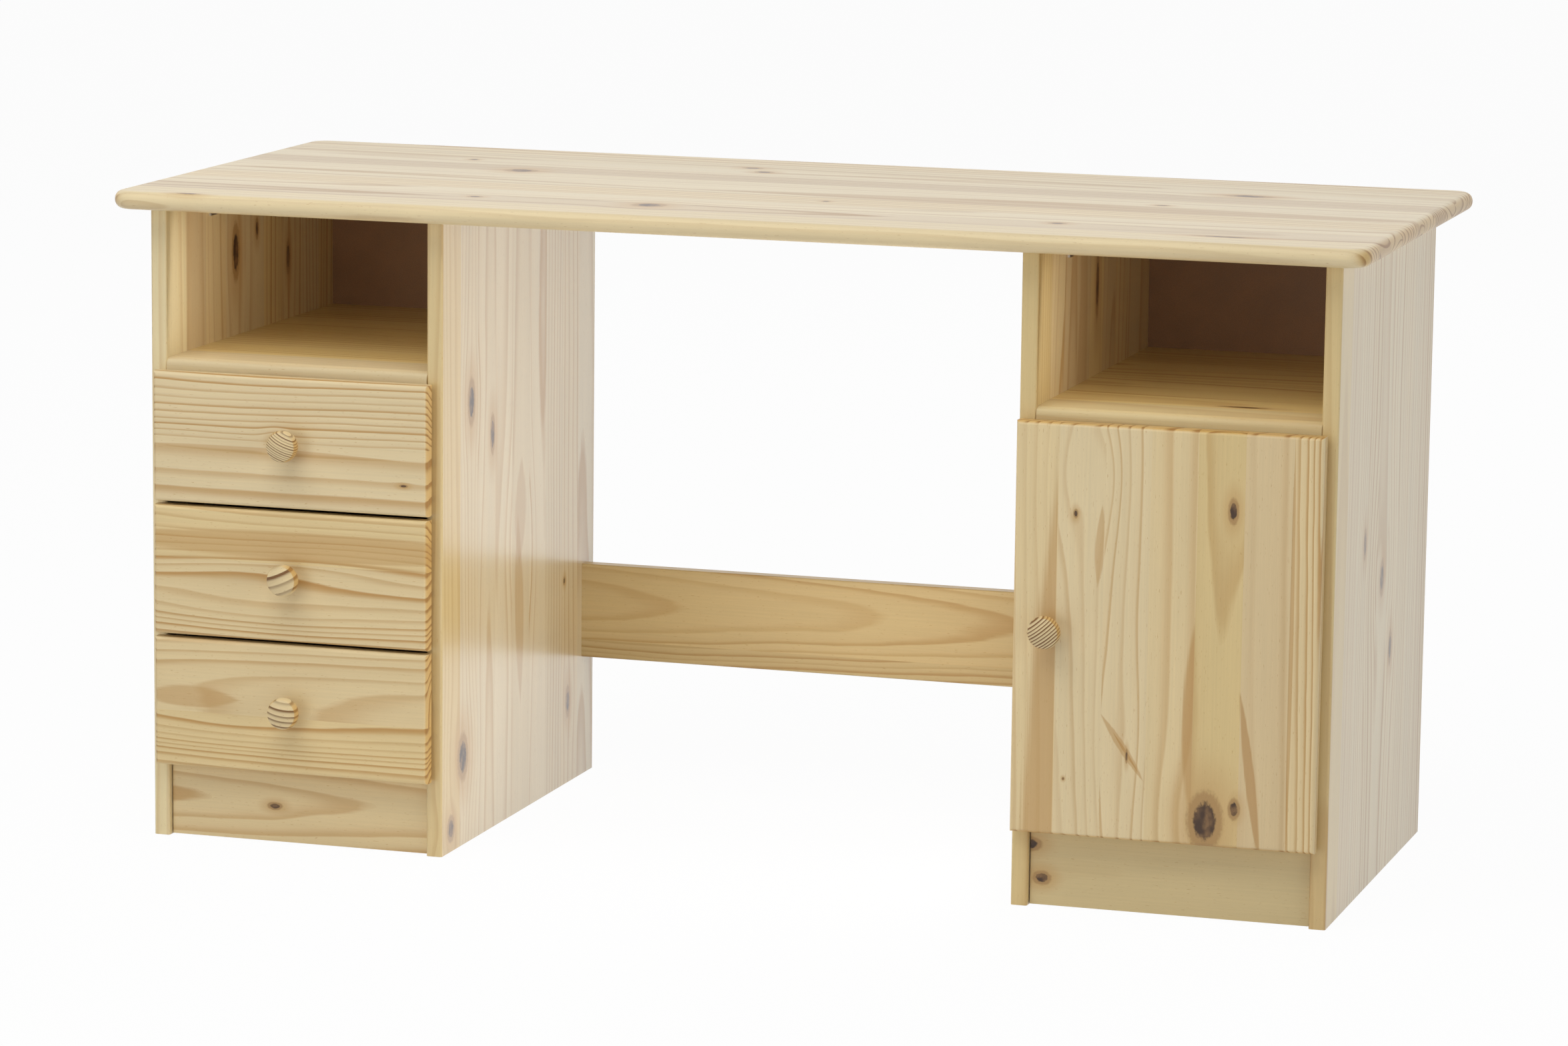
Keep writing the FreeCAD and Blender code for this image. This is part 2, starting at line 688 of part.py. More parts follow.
def knob_screw(label, x, z):
    """The screw that draws a knob up from behind the front."""
    length = "knob_screw_head_height + front_thickness + knob_screw_bite"
    body = turned(label, [
        (None, None),
        ("knob_screw_head_diameter / 2", None),
        ("knob_screw_head_diameter / 2", "knob_screw_head_height"),
        ("knob_screw_diameter / 2", "knob_screw_head_height"),
        ("knob_screw_diameter / 2", length),
        (None, length),
    ])
    put(body, (x, f"{FRONT_BACK_Y} + knob_screw_head_height", z), TO_FRONT)
    return finish(body, label)


def front_board(label, x, width, z, height):
    """A drawer front or door: every face edge is rounded over."""
    place = (x, f"{FRONT_BACK_Y} - front_thickness", z)
    body = board(label, "XZ_Plane", (width, height), "front_thickness", place)
    fillet(body, FRONT_ROUND, lambda edge, whole: same(edge.YLength, 0))
    return body


def back_face(body):
    """A sketch on the face of a front that looks into the desk."""
    return sketch_on(body, "XZ_Plane", "-front_thickness")


def knob_hole(body, x, z):
    hole = back_face(body)
    circles(hole, [(x, z)], "knob_screw_diameter / 2 + knob_screw_clearance")
    pocket(body, hole, "front_thickness + cut_overrun", along_normal=True)


def drawer_side(label, x, z, outer_on_left):
    """A drawer side: runner groove outside, bottom groove and back dado inside."""
    length = f"({DRAWER_DEPTH} + housing_depth)"
    place = (x, f"{FRONT_BACK_Y} - housing_depth", z)
    body = board(label, "YZ_Plane", (length, DRAWER_SIDE_HEIGHT), "drawer_side_thickness", place)
    fillet(
        body,
        "drawer_side_round",
        lambda edge, whole: same(edge.ZMin, whole.ZMax) and same(edge.YLength, whole.YLength),
    )
    outer, inner = (None, "drawer_side_thickness") if outer_on_left else ("drawer_side_thickness", None)

    groove_start = "(housing_depth + front_gap + runner_front_inset - slide_clearance)"
    runner_groove = sketch_on(body, "YZ_Plane", outer)
    rectangle(
        runner_groove,
        groove_start,
        f"{RUNNER_LIFT} - slide_clearance",
        f"{length} - {groove_start} + cut_overrun",
        "runner_height + 2 * slide_clearance",
    )
    pocket(body, runner_groove, "runner_thickness - drawer_side_gap + slide_clearance", along_normal=outer_on_left)

    bottom_groove = sketch_on(body, "YZ_Plane", inner)
    rectangle(
        bottom_groove,
        "-cut_overrun",
        "drawer_bottom_lift",
        f"{length} + 2 * cut_overrun",
        "drawer_bottom_thickness + drawer_bottom_clearance",
    )
    pocket(body, bottom_groove, "drawer_bottom_groove", along_normal=not outer_on_left)

    dado = sketch_on(body, "YZ_Plane", inner)
    rectangle(
        dado,
        f"{length} - drawer_back_inset - drawer_back_thickness",
        DRAWER_FLOOR,
        "drawer_back_thickness",
        f"{DRAWER_SIDE_HEIGHT} - {DRAWER_FLOOR} + cut_overrun",
    )
    pocket(body, dado, "drawer_back_dado", along_normal=not outer_on_left)
    return finish(body, label)


def drawer(name, row):
    """One drawer: front, two grooved sides, back, hardboard bottom, knob and screw."""
    front_z = f"(plinth_height + {row} * ({FRONT_HEIGHT} + front_row_gap))"
    box_z = f"({front_z} + drawer_lift)"
    front_x = f"({PEDESTAL_X['left']} + front_reveal)"
    side_x = f"({INNER_X['left']} + drawer_side_gap)"
    far_side_x = f"({INNER_END_X['left']} - drawer_side_gap - drawer_side_thickness)"
    side_inset = "(board_thickness + drawer_side_gap - front_reveal)"

    front = front_board(f"{name}_drawer_front", front_x, FRONT_WIDTH, front_z, FRONT_HEIGHT)
    housings = back_face(front)
    for start in (side_inset, f"{FRONT_WIDTH} - {side_inset} - drawer_side_thickness"):
        rectangle(housings, start, "drawer_lift", "drawer_side_thickness", DRAWER_SIDE_HEIGHT)
    pocket(front, housings, "housing_depth", along_normal=True)
    groove = back_face(front)
    rectangle(
        groove,
        f"{side_inset} + drawer_side_thickness",
        "drawer_lift + drawer_bottom_lift",
        DRAWER_INNER_WIDTH,
        "drawer_bottom_thickness + drawer_bottom_clearance",
    )
    pocket(front, groove, "drawer_bottom_groove", along_normal=True)
    knob_hole(front, f"{FRONT_WIDTH} / 2", f"{FRONT_HEIGHT} / 2")
    finish(front, f"{name}_drawer_front")

    drawer_side(f"{name}_drawer_left_side", side_x, box_z, True)
    drawer_side(f"{name}_drawer_right_side", far_side_x, box_z, False)

    back = board(
        f"{name}_drawer_back",
        "XZ_Plane",
        (f"{DRAWER_INNER_WIDTH} + 2 * drawer_back_dado", f"{DRAWER_SIDE_HEIGHT} - {DRAWER_FLOOR}"),
        "drawer_back_thickness",
        (
            f"{side_x} + drawer_side_thickness - drawer_back_dado",
            f"{FRONT_BACK_Y} + {DRAWER_DEPTH} - drawer_back_inset - drawer_back_thickness",
            f"{box_z} + {DRAWER_FLOOR}",
        ),
    )
    finish(back, f"{name}_drawer_back")

    tongue = "(drawer_bottom_groove - drawer_bottom_clearance)"
    bottom = board(
        f"{name}_drawer_bottom",
        "XY_Plane",
        (f"{DRAWER_INNER_WIDTH} + 2 * {tongue}", f"{DRAWER_DEPTH} - drawer_back_inset + {tongue}"),
        "drawer_bottom_thickness",
        (
            f"{side_x} + drawer_side_thickness - {tongue}",
            f"{FRONT_BACK_Y} - {tongue}",
            f"{box_z} + drawer_bottom_lift",
        ),
    )
    finish(bottom, f"{name}_drawer_bottom")

    knob_x = f"{front_x} + {FRONT_WIDTH} / 2"
    knob_z = f"{front_z} + {FRONT_HEIGHT} / 2"
    knob(f"{name}_drawer_knob", knob_x, knob_z)
    knob_screw(f"{name}_drawer_knob_screw", knob_x, knob_z)

    runner_x = {"left": INNER_X["left"], "right": f"{INNER_END_X['left']} - runner_thickness"}
    for hand, x in runner_x.items():
        runner = board(
            f"{name}_{hand}_runner",
            "YZ_Plane",
            (RUNNER_LENGTH, "runner_height"),
            "runner_thickness",
            (x, f"{PANEL_FRONT} + runner_front_inset", f"{box_z} + {RUNNER_LIFT}"),
        )
        fillet(
            runner,
            "runner_nose_radius",
            lambda edge, whole: same(edge.YMax, whole.YMin) and same(edge.XLength, whole.XLength),
        )
        finish(runner, f"{name}_{hand}_runner")


for row, name in enumerate(DRAWERS):
    drawer(name, row)


# Door: a front board with two cup recesses near its hinged edge
door = front_board("door_panel", DOOR_X, DOOR_WIDTH, "plinth_height", FRONT_SPAN)
CUP_INSET = "(cup_edge_distance + cup_diameter / 2)"
cup_holes = back_face(door)
circles(
    cup_holes,
    [(f"{DOOR_WIDTH} - {CUP_INSET}", "hinge_inset"), (f"{DOOR_WIDTH} - {CUP_INSET}", f"{FRONT_SPAN} - hinge_inset")],
    "cup_diameter / 2 + cup_clearance",
)
pocket(door, cup_holes, "cup_depth + cup_clearance", along_normal=True)
knob_hole(door, "door_knob_inset", f"{FRONT_SPAN} / 2")
finish(door, "door_panel")
knob("door_knob", f"{DOOR_X} + door_knob_inset", f"plinth_height + {FRONT_SPAN} / 2")
knob_screw("door_knob_screw", f"{DOOR_X} + door_knob_inset", f"plinth_height + {FRONT_SPAN} / 2")

# Hinge cup: its own origin is the cup's centre on the door's back face, with the pin towards +X
cup = doc.addObject("PartDesign::Body", "cup")
shell = sketch_on(cup, "XZ_Plane")
circles(shell, [(None, None)], "cup_diameter / 2")
pad(cup, shell, "cup_depth")
flange = sketch_on(cup, "XZ_Plane")
rectangle(flange, "-flange_reach", "-flange_height / 2", "flange_reach + flange_inner_reach", "flange_height")
pad(cup, flange, "flange_thickness", backwards=True)
fillet(
    cup,
    "flange_corner_radius",
    lambda edge, whole: same(edge.YLength, whole.YMax)
    and same(edge.XLength, 0)
    and (same(edge.ZMin, whole.ZMin) or same(edge.ZMax, whole.ZMax)),
)
hollow = sketch_on(cup, "XZ_Plane", "-flange_thickness")
circles(hollow, [(None, None)], "cup_diameter / 2 - cup_wall")
pocket(cup, hollow, "flange_thickness + cup_depth - cup_wall", along_normal=True)
flange_holes = sketch_on(cup, "XZ_Plane", "-flange_thickness")
circles(
    flange_holes,
    [("-flange_hole_offset", "-flange_hole_spacing / 2"), ("-flange_hole_offset", "flange_hole_spacing / 2")],
    "flange_hole_diameter / 2",
)
pocket(cup, flange_holes, "flange_thickness", along_normal=True)
LUG_EDGE = f"min({PIN_FROM_CUP} + lug_reach; sqrt((cup_diameter / 2) ^ 2 - {LUG_END} ^ 2))"
for start in (LUG_START, f"-{LUG_END}"):
    lug = sketch_on(cup, "XY_Plane", start)
    polygon(lug, [
        (f"{PIN_FROM_CUP} - lug_reach", "-cup_depth"),
        (LUG_EDGE, "-cup_depth"),
        (LUG_EDGE, "lug_reach - hinge_axis_depth"),
        (f"{PIN_FROM_CUP} - lug_reach", "lug_reach - hinge_axis_depth"),
    ])
    pad(cup, lug, "lug_thickness")
pin_hole = sketch_on(cup, "XY_Plane", f"{LUG_END} + cut_overrun")
circles(pin_hole, [(PIN_FROM_CUP, "-hinge_axis_depth")], "hinge_pin_diameter / 2")
pocket(cup, pin_hole, f"2 * ({LUG_END} + cut_overrun)")
cup_places = [((f"{DOOR_EDGE_X} - {CUP_INSET}", FRONT_BACK_Y, height), None) for height in HINGE_HEIGHTS]
finish(copies("cups", cup, cup_places), "hinge_cups")

pin = turned("pin", [
    (None, None),
    ("hinge_pin_diameter / 2", None),
    ("hinge_pin_diameter / 2", f"2 * {LUG_END}"),
    (None, f"2 * {LUG_END}"),
])
pin_places = [((HINGE_X, HINGE_Y, f"{height} - {LUG_END}"), None) for height in HINGE_HEIGHTS]
finish(copies("pins", pin, pin_places), "hinge_pins")

# Hinge arm: a bar on the side panel, cranked into the cup and ending in an eye round the pin
arm = doc.addObject("PartDesign::Body", "arm")
crank = sketch_on(arm, "XY_Plane")
EYE_Y = "knuckle_diameter / 2"
polygon(crank, [
    (None, f"{EYE_Y} - arm_thickness / 2"),
    ("arm_reach", f"{EYE_Y} - arm_thickness / 2"),
    ("arm_reach", f"{EYE_Y} + arm_thickness / 2"),
    ("arm_thickness", f"{EYE_Y} + arm_thickness / 2"),
    ("arm_thickness", f"{ARM_FRONT} + arm_setback"),
    (ARM_BAR_EDGE, f"{ARM_FRONT} + arm_setback"),
    (ARM_BAR_EDGE, f"{ARM_FRONT} + plate_inset + plate_length / 2"),
    (None, f"{ARM_FRONT} + plate_inset + plate_length / 2"),
])
pad(arm, crank, "arm_width")
fillet(
    arm,
    "arm_bend_radius",
    lambda edge, whole: same(edge.ZLength, whole.ZLength) and same(edge.XMax, whole.XMin),
)
eye = sketch_on(arm, "XY_Plane")
circles(eye, [("arm_reach", EYE_Y)], "knuckle_diameter / 2")
pad(arm, eye, "arm_width")
eye_hole = sketch_on(arm, "XY_Plane", "arm_width + cut_overrun")
circles(eye_hole, [("arm_reach", EYE_Y)], "hinge_pin_diameter / 2 + hinge_pin_clearance")
pocket(arm, eye_hole, "arm_width + 2 * cut_overrun")
arm_places = [
    ((f"{HINGE_X} - arm_reach", f"{HINGE_Y} - {EYE_Y}", f"{height} - arm_width / 2"), None)
    for height in HINGE_HEIGHTS
]
finish(copies("arms", arm, arm_places), "hinge_arms")

# Hinge plate: a block under the arm and a thin wing with two screw holes, on the side panel
plate = doc.addObject("PartDesign::Body", "plate")
block = sketch_on(plate, "YZ_Plane")
rectangle(block, "-plate_length / 2", "-plate_width / 2", "plate_length", "plate_width")
pad(plate, block, "plate_thickness", backwards=True)
wing = sketch_on(plate, "YZ_Plane")
rectangle(
    wing,
    "-plate_wing_length / 2",
    "-plate_wing_height / 2",
    "plate_wing_length",
    "plate_wing_height",
)
pad(plate, wing, "plate_wing_thickness", backwards=True)
plate_holes = sketch_on(plate, "YZ_Plane")
circles(
    plate_holes,
    [(None, "-plate_hole_spacing / 2"), (None, "plate_hole_spacing / 2")],
    "plate_hole_diameter / 2",
)
pocket(plate, plate_holes, "plate_wing_thickness + cut_overrun")
plate_places = [((INNER_END_X["right"], f"{PANEL_FRONT} + plate_inset", height), None) for height in HINGE_HEIGHTS]
finish(copies("plates", plate, plate_places), "hinge_plates")

# Magnetic catch: a housing under the shelf with a magnet that meets the strike plate
CATCH_X = f"({INNER_X['right']} + catch_inset)"
CATCH_Z = f"({SHELF_UNDER} - catch_height)"
CATCH_MID_X = f"({CATCH_X} + catch_width / 2)"
CATCH_MID_Z = f"({CATCH_Z} + catch_height / 2)"
MAGNET_FRONT = "(front_gap - strike_thickness - strike_gap)"
housing = board(
    "catch_housing",
    "XY_Plane",
    ("catch_width", "catch_depth"),
    "catch_height",
    (CATCH_X, f"{PANEL_FRONT} + catch_setback", CATCH_Z),
)
fillet(housing, "catch_round", lambda edge, whole: same(edge.ZMax, whole.ZMin))
socket = sketch_on(housing, "XZ_Plane")
rectangle(
    socket,
    "(catch_width - magnet_width) / 2 - magnet_clearance",
    "(catch_height - magnet_height) / 2 - magnet_clearance",
    "magnet_width + 2 * magnet_clearance",
    "magnet_height + 2 * magnet_clearance",
)
pocket(housing, socket, f"magnet_depth - catch_setback - {MAGNET_FRONT}")
finish(housing, "catch_housing")
magnet = board(
    "catch_magnet",
    "XZ_Plane",
    ("magnet_width", "magnet_height"),
    "magnet_depth",
    (
        f"{CATCH_MID_X} - magnet_width / 2",
        f"{PANEL_FRONT} - {MAGNET_FRONT}",
        f"{CATCH_MID_Z} - magnet_height / 2",
    ),
)
finish(magnet, "catch_magnet")
strike = board(
    "strike_plate",
    "XZ_Plane",
    ("strike_width", "strike_height"),
    "strike_thickness",
    (f"{CATCH_MID_X} - strike_width / 2", FRONT_BACK_Y, f"{CATCH_MID_Z} - strike_height / 2"),
)
fillet(strike, "strike_corner_radius", lambda edge, whole: same(edge.YLength, whole.YLength))
finish(strike, "strike_plate")

doc.recompute()
for thing in doc.Objects:
    if {"Invalid", "Error"} & set(thing.State):
        raise RuntimeError(f"{thing.Label} did not build: {thing.State}")
for node in nodes:
    if node.Shape.isNull() or not node.Shape.isValid() or not node.Shape.Solids:
        raise RuntimeError(f"{node.Label} has no valid solid")

os.makedirs("parts", exist_ok=True)
for node in nodes:
    node.Shape.exportStep(f"parts/{node.Label}.step")
print(f"wrote {len(nodes)} sub-parts")
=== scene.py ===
# %% [markdown]
# # A pine pedestal desk
# The desk's boards, runners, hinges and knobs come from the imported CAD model, already in place and
# at their true size. This lesson gives them their finishes, adds the small screws and pins that hold
# them, and sets up a plain studio with the camera where the photographer stood.

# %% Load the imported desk
import json
import math
from collections import namedtuple

import bpy
import numpy as np
from mathutils import Matrix, Vector


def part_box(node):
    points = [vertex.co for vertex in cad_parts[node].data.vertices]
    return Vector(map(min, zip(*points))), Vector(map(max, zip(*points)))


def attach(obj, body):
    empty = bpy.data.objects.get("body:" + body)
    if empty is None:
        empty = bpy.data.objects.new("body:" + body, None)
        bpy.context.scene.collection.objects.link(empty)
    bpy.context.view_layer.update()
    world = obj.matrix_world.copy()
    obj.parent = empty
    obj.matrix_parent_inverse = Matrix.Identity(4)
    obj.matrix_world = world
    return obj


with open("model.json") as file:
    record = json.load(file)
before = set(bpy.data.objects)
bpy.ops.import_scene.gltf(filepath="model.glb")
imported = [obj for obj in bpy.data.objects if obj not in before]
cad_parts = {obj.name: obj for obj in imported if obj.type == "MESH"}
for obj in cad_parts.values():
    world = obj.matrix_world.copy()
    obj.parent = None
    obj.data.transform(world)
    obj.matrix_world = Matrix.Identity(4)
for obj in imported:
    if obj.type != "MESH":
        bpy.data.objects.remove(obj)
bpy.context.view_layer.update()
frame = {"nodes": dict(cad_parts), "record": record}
nodes = frame["nodes"]

# %% [markdown]
# ## Camera
# The photograph was taken from a little above the desk and to its right, with a long lens, so the
# far end of the top is hardly smaller than the near one. The place, the aim and the lens below were
# fitted to where the photograph has the desk's corners. A shifted lens would also make the uprights
# quite parallel, but it would push the desk out of every other view, so the camera is turned about
# three axes instead.

# %% Make the camera
IMAGE_WIDTH = 2351
FOCAL_PIXELS = 8617.6
SENSOR_WIDTH = 36.0
FARTHEST_SEEN = 200.0
CAMERA_PLACE = (1.8456, -6.0086, 1.4168)
CAMERA_YAW = math.radians(17.19)
CAMERA_PITCH = math.radians(-9.631)
CAMERA_ROLL = math.radians(0.673)

scene = bpy.context.scene
lens = bpy.data.cameras.new("camera")
lens.sensor_width = SENSOR_WIDTH
lens.lens = SENSOR_WIDTH * FOCAL_PIXELS / IMAGE_WIDTH
lens.clip_end = FARTHEST_SEEN
camera = bpy.data.objects.new("camera", lens)
aim = Matrix.Rotation(CAMERA_YAW, 4, "Z")
aim = aim @ Matrix.Rotation(math.pi / 2 + CAMERA_PITCH, 4, "X")
aim = aim @ Matrix.Rotation(CAMERA_ROLL, 4, "Z")
camera.matrix_world = Matrix.Translation(CAMERA_PLACE) @ aim
scene.collection.objects.link(camera)
scene.camera = camera
print("lens", round(lens.lens, 1), "mm")

# %% [markdown]
# ## Shader maths
# A wood pattern is a sum: how far a point is from the heart of the tree, divided by the width of a
# year's growth. Drawn as a net of nodes it is hard to read, so a small class wraps a socket and
# turns ordinary sums into Math nodes. Every other node comes from its one method, `node`.


# %% A socket that can be used in sums
class Field:
    """A socket of a material's nodes: sums of fields add Math nodes to that material."""

    def __init__(self, tree, socket=None):
        self.tree = tree
        self.socket = socket

    def node(self, kind, settings=None, inputs=None, output=0):
        """Add a node: its settings first, then the values or links of its sockets."""
        made = self.tree.nodes.new(kind)
        for name, value in (settings or {}).items():
            if name == "stops":
                self.set_stops(made.color_ramp, value)
            elif name == "interpolation":
                made.color_ramp.interpolation = value
            else:
                setattr(made, name, value)
        for name, value in (inputs or {}).items():
            if isinstance(value, Field):
                self.tree.links.new(value.socket, made.inputs[name])
            else:
                made.inputs[name].default_value = value
        return Field(self.tree, made.outputs[output])

    @staticmethod
    def set_stops(ramp, stops):
        """Give a ramp its stops, each a position from 0 to 1 and a colour."""
        ramp.elements.remove(ramp.elements[-1])
        for number, (position, colour) in enumerate(stops):
            stop = ramp.elements.new(position) if number else ramp.elements[0]
            stop.position = position
            stop.color = (*colour, 1.0)

    def math(self, operation, *values):
        """A Math node on the given values, or on this field alone."""
        inputs = dict(enumerate(values or (self,)))
        return self.node("ShaderNodeMath", {"operation": operation}, inputs)

    def __add__(self, other):
        return self.math("ADD", self, other)

    def __radd__(self, other):
        return self.math("ADD", other, self)

    def __sub__(self, other):
        return self.math("SUBTRACT", self, other)

    def __rsub__(self, other):
        return self.math("SUBTRACT", other, self)

    def __mul__(self, other):
        return self.math("MULTIPLY", self, other)

    def __rmul__(self, other):
        return self.math("MULTIPLY", other, self)

    def __truediv__(self, other):
        return self.math("DIVIDE", self, other)

    def __rtruediv__(self, other):
        return self.math("DIVIDE", other, self)

    def at_most(self, limit):
        """This field or another value, whichever is less."""
        return self.math("MINIMUM", self, limit)

    def at_least(self, limit):
        """This field or another value, whichever is more."""
        return self.math("MAXIMUM", self, limit)

    def between(self, low, high):
        """0 below low and 1 above high, with a smooth step from one to the other."""
        inputs = {"Value": self, "From Min": low, "From Max": high}
        return self.node("ShaderNodeMapRange", {"interpolation_type": "SMOOTHSTEP"}, inputs)

    def mix(self, low, high):
        """The colour low where this field is 0 and high where it is 1."""
        return self.node("ShaderNodeMix", {"data_type": "RGBA"}, {0: self, 6: low, 7: high}, 2)

    def scale(self, colour):
        """A colour made lighter or darker by this field."""
        inputs = {0: colour, "Scale": self}
        return self.node("ShaderNodeVectorMath", {"operation": "SCALE"}, inputs)

    def vector(self, *parts):
        """Three fields or numbers as one place."""
        return self.node("ShaderNodeCombineXYZ", None, dict(enumerate(parts)))

    def parts(self):
        """The three fields of a place."""
        split = self.node("ShaderNodeSeparateXYZ", None, {0: self}).socket.node
        return [Field(self.tree, output) for output in split.outputs]

    def noise(self, place, detail=1.0):
        """Smooth noise about 0, from -0.5 to 0.5, one bump or so to each unit of place."""
        inputs = {"Vector": place, "Scale": 1.0, "Detail": detail}
        return self.node("ShaderNodeTexNoise", None, inputs) - 0.5

    def feed(self, shader, name):
        """Link this field to one of a shader's sockets."""
        self.tree.links.new(self.socket, shader.inputs[name])


print("a socket can now be used in sums")

# %% [markdown]
# ## Studio
# The photograph has the desk on plain white. A backdrop lit that brightly would wash out the pine,
# so a white world is seen only by the camera, in reflections and through glass, while a dim world
# and four large lamps light the desk. A faint lamp in the mouth of each open cubby, and one in the
# kneehole, lift the shade there. The lacquer mirrors the white world, so the lamps themselves stay
# out of the reflections.

# %% The world
WHITE = (1.0, 1.0, 1.0, 1.0)
WORLD_LIGHT = 0.1


def seen_ray(blank):
    """1 for what the camera sees, directly or in a reflection or through glass, and 0 for light."""
    path = blank.node("ShaderNodeLightPath").socket.node
    camera_ray, glossy_ray, clear_ray = (
        Field(blank.tree, path.outputs[f"Is {kind} Ray"])
        for kind in ("Camera", "Glossy", "Transmission")
    )
    return camera_ray.at_least(glossy_ray.at_least(clear_ray))


world = bpy.data.worlds.new("studio")
world.use_nodes = True
scene.world = world
sky = Field(world.node_tree)
white = sky.node("ShaderNodeBackground", None, {"Color": WHITE, "Strength": 1.0})
soft = sky.node("ShaderNodeBackground", None, {"Color": WHITE, "Strength": WORLD_LIGHT})
ground = sky.node("ShaderNodeMixShader", None, {0: seen_ray(sky), 1: soft, 2: white})
ground.feed(world.node_tree.nodes["World Output"], "Surface")
scene.view_settings.view_transform = "Standard"
print("a world that looks white and gives", WORLD_LIGHT, "of that as light")


# %% The lamps
def softbox(name, place, target, width, height, power):
    """A flat lamp at a place, facing a target, with its power in watts."""
    lamp = bpy.data.lights.new(name, "AREA")
    lamp.shape = "RECTANGLE"
    lamp.size = width
    lamp.size_y = height
    lamp.energy = power
    thing = bpy.data.objects.new(name, lamp)
    facing = (Vector(target) - Vector(place)).to_track_quat("-Z", "Y")
    thing.matrix_world = Matrix.Translation(place) @ facing.to_matrix().to_4x4()
    scene.collection.objects.link(thing)
    thing.visible_camera = False
    thing.visible_glossy = False


MIDDLE = (0.0, 0.0, 0.4)
RIGHT_OF_MIDDLE = (0.3, 0.0, 0.4)
CUBBY_X = 0.492
LAMPS = [("overhead_softbox", (-0.5, -1.6, 3.4), MIDDLE, 3.4, 3.0, 86.0)]
LAMPS.append(("right_softbox", (4.6, -1.6, 1.3), RIGHT_OF_MIDDLE, 2.6, 2.0, 46.5))
LAMPS.append(("left_softbox", (-2.2, -4.8, 1.2), MIDDLE, 2.4, 2.0, 38.0))
LAMPS.append(("back_softbox", (0.5, 4.5, 3.4), MIDDLE, 4.0, 2.4, 66.0))
for x in (-CUBBY_X, CUBBY_X):
    LAMPS.append(("cubby_lamp", (x, -0.25, 0.617), (x, 0.2, 0.58), 0.28, 0.14, 0.145))
LAMPS.append(("kneehole_lamp", (0.29, -0.12, 0.36), (-0.3, -0.2, 0.36), 0.3, 0.6, 1.2))
for lamp_values in LAMPS:
    softbox(*lamp_values)
print("lamps:", ", ".join(lamp_values[0] for lamp_values in LAMPS))

# %% [markdown]
# ## Floor
# The floor has to look as white as the world and still take the desk's soft shadow. A white floor
# under strong lamps would do it, but the desk would be lit too brightly. Here the floor glows for
# the rays that are seen, and a small share of pale paint, mixed in, darkens in the shadow.

# %% The floor
FLOOR_GLOW = 0.965
FLOOR_REACH = 60.0
FLOOR_DROP = 0.0005


def new_material(name):
    """A new material, a blank field in its nodes, and its shader."""
    material = bpy.data.materials.new(name)
    material.use_nodes = True
    tree = material.node_tree
    return material, Field(tree), tree.nodes["Principled BSDF"]


floor_mesh = bpy.data.meshes.new("floor")
corners = [(x * FLOOR_REACH, y * FLOOR_REACH, 0.0) for x, y in ((-1, -1), (1, -1), (1, 1), (-1, 1))]
floor_mesh.from_pydata(corners, [], [(0, 1, 2, 3)])
floor = bpy.data.objects.new("floor", floor_mesh)
floor.location.z = -FLOOR_DROP
scene.collection.objects.link(floor)
floor_paint, blank, shader = new_material("floor_paint")
shader.inputs["Base Color"].default_value = (0.86, 0.86, 0.86, 1.0)
shader.inputs["Roughness"].default_value = 0.9
shader.inputs["Specular IOR Level"].default_value = 0.0
glow = blank.node("ShaderNodeEmission", None, {"Color": WHITE, "Strength": 1.0})
paint = Field(blank.tree, shader.outputs[0])
share = seen_ray(blank) * FLOOR_GLOW
surface = blank.node("ShaderNodeMixShader", None, {0: share, 1: paint, 2: glow})
surface.feed(floor_paint.node_tree.nodes["Material Output"], "Surface")
floor_mesh.materials.append(floor_paint)
print("a floor", 2 * FLOOR_REACH, "m wide")

# %% [markdown]
# ## Pine
# A board is sawn from a log, and glued panels are made of several strips, called staves, each from
# another log. For each stave we say where the heart of its log lay, how wide a year's growth is and
# how pale the wood is. The distance from that heart then gives the rings. They show as long lines on
# a board's face and as arcs on its ends, and they run on over a rounded edge, which a flat picture of
# grain could not do. A knot is a branch through the board: the rings part round it.

# %% Staves
HEART_REACH = 260.0
RING_MOST = 40.0
LEAN_MOST = 0.1
OWN_FIRST = 0.11
OWN_STEP = 0.37
PLAIN_WOOD = (1.0, 1.0, 1.0)
END_WOOD = (0.88, 0.74, 0.50)
END_LATE_WOOD = (0.50, 0.32, 0.15)

# In mm: where a stave starts, where its log's heart is across and through the board, and how wide
# a year is. Then how strong the lines are, and how far the heart leans for each mm along the board.
Stave = namedtuple("Stave", "start colour heart deep ring contrast lean")

# The same for all staves of a board, as fields, with a number of its own for each stave
Wood = namedtuple("Wood", "early late end end_late heart deep ring contrast lean own")


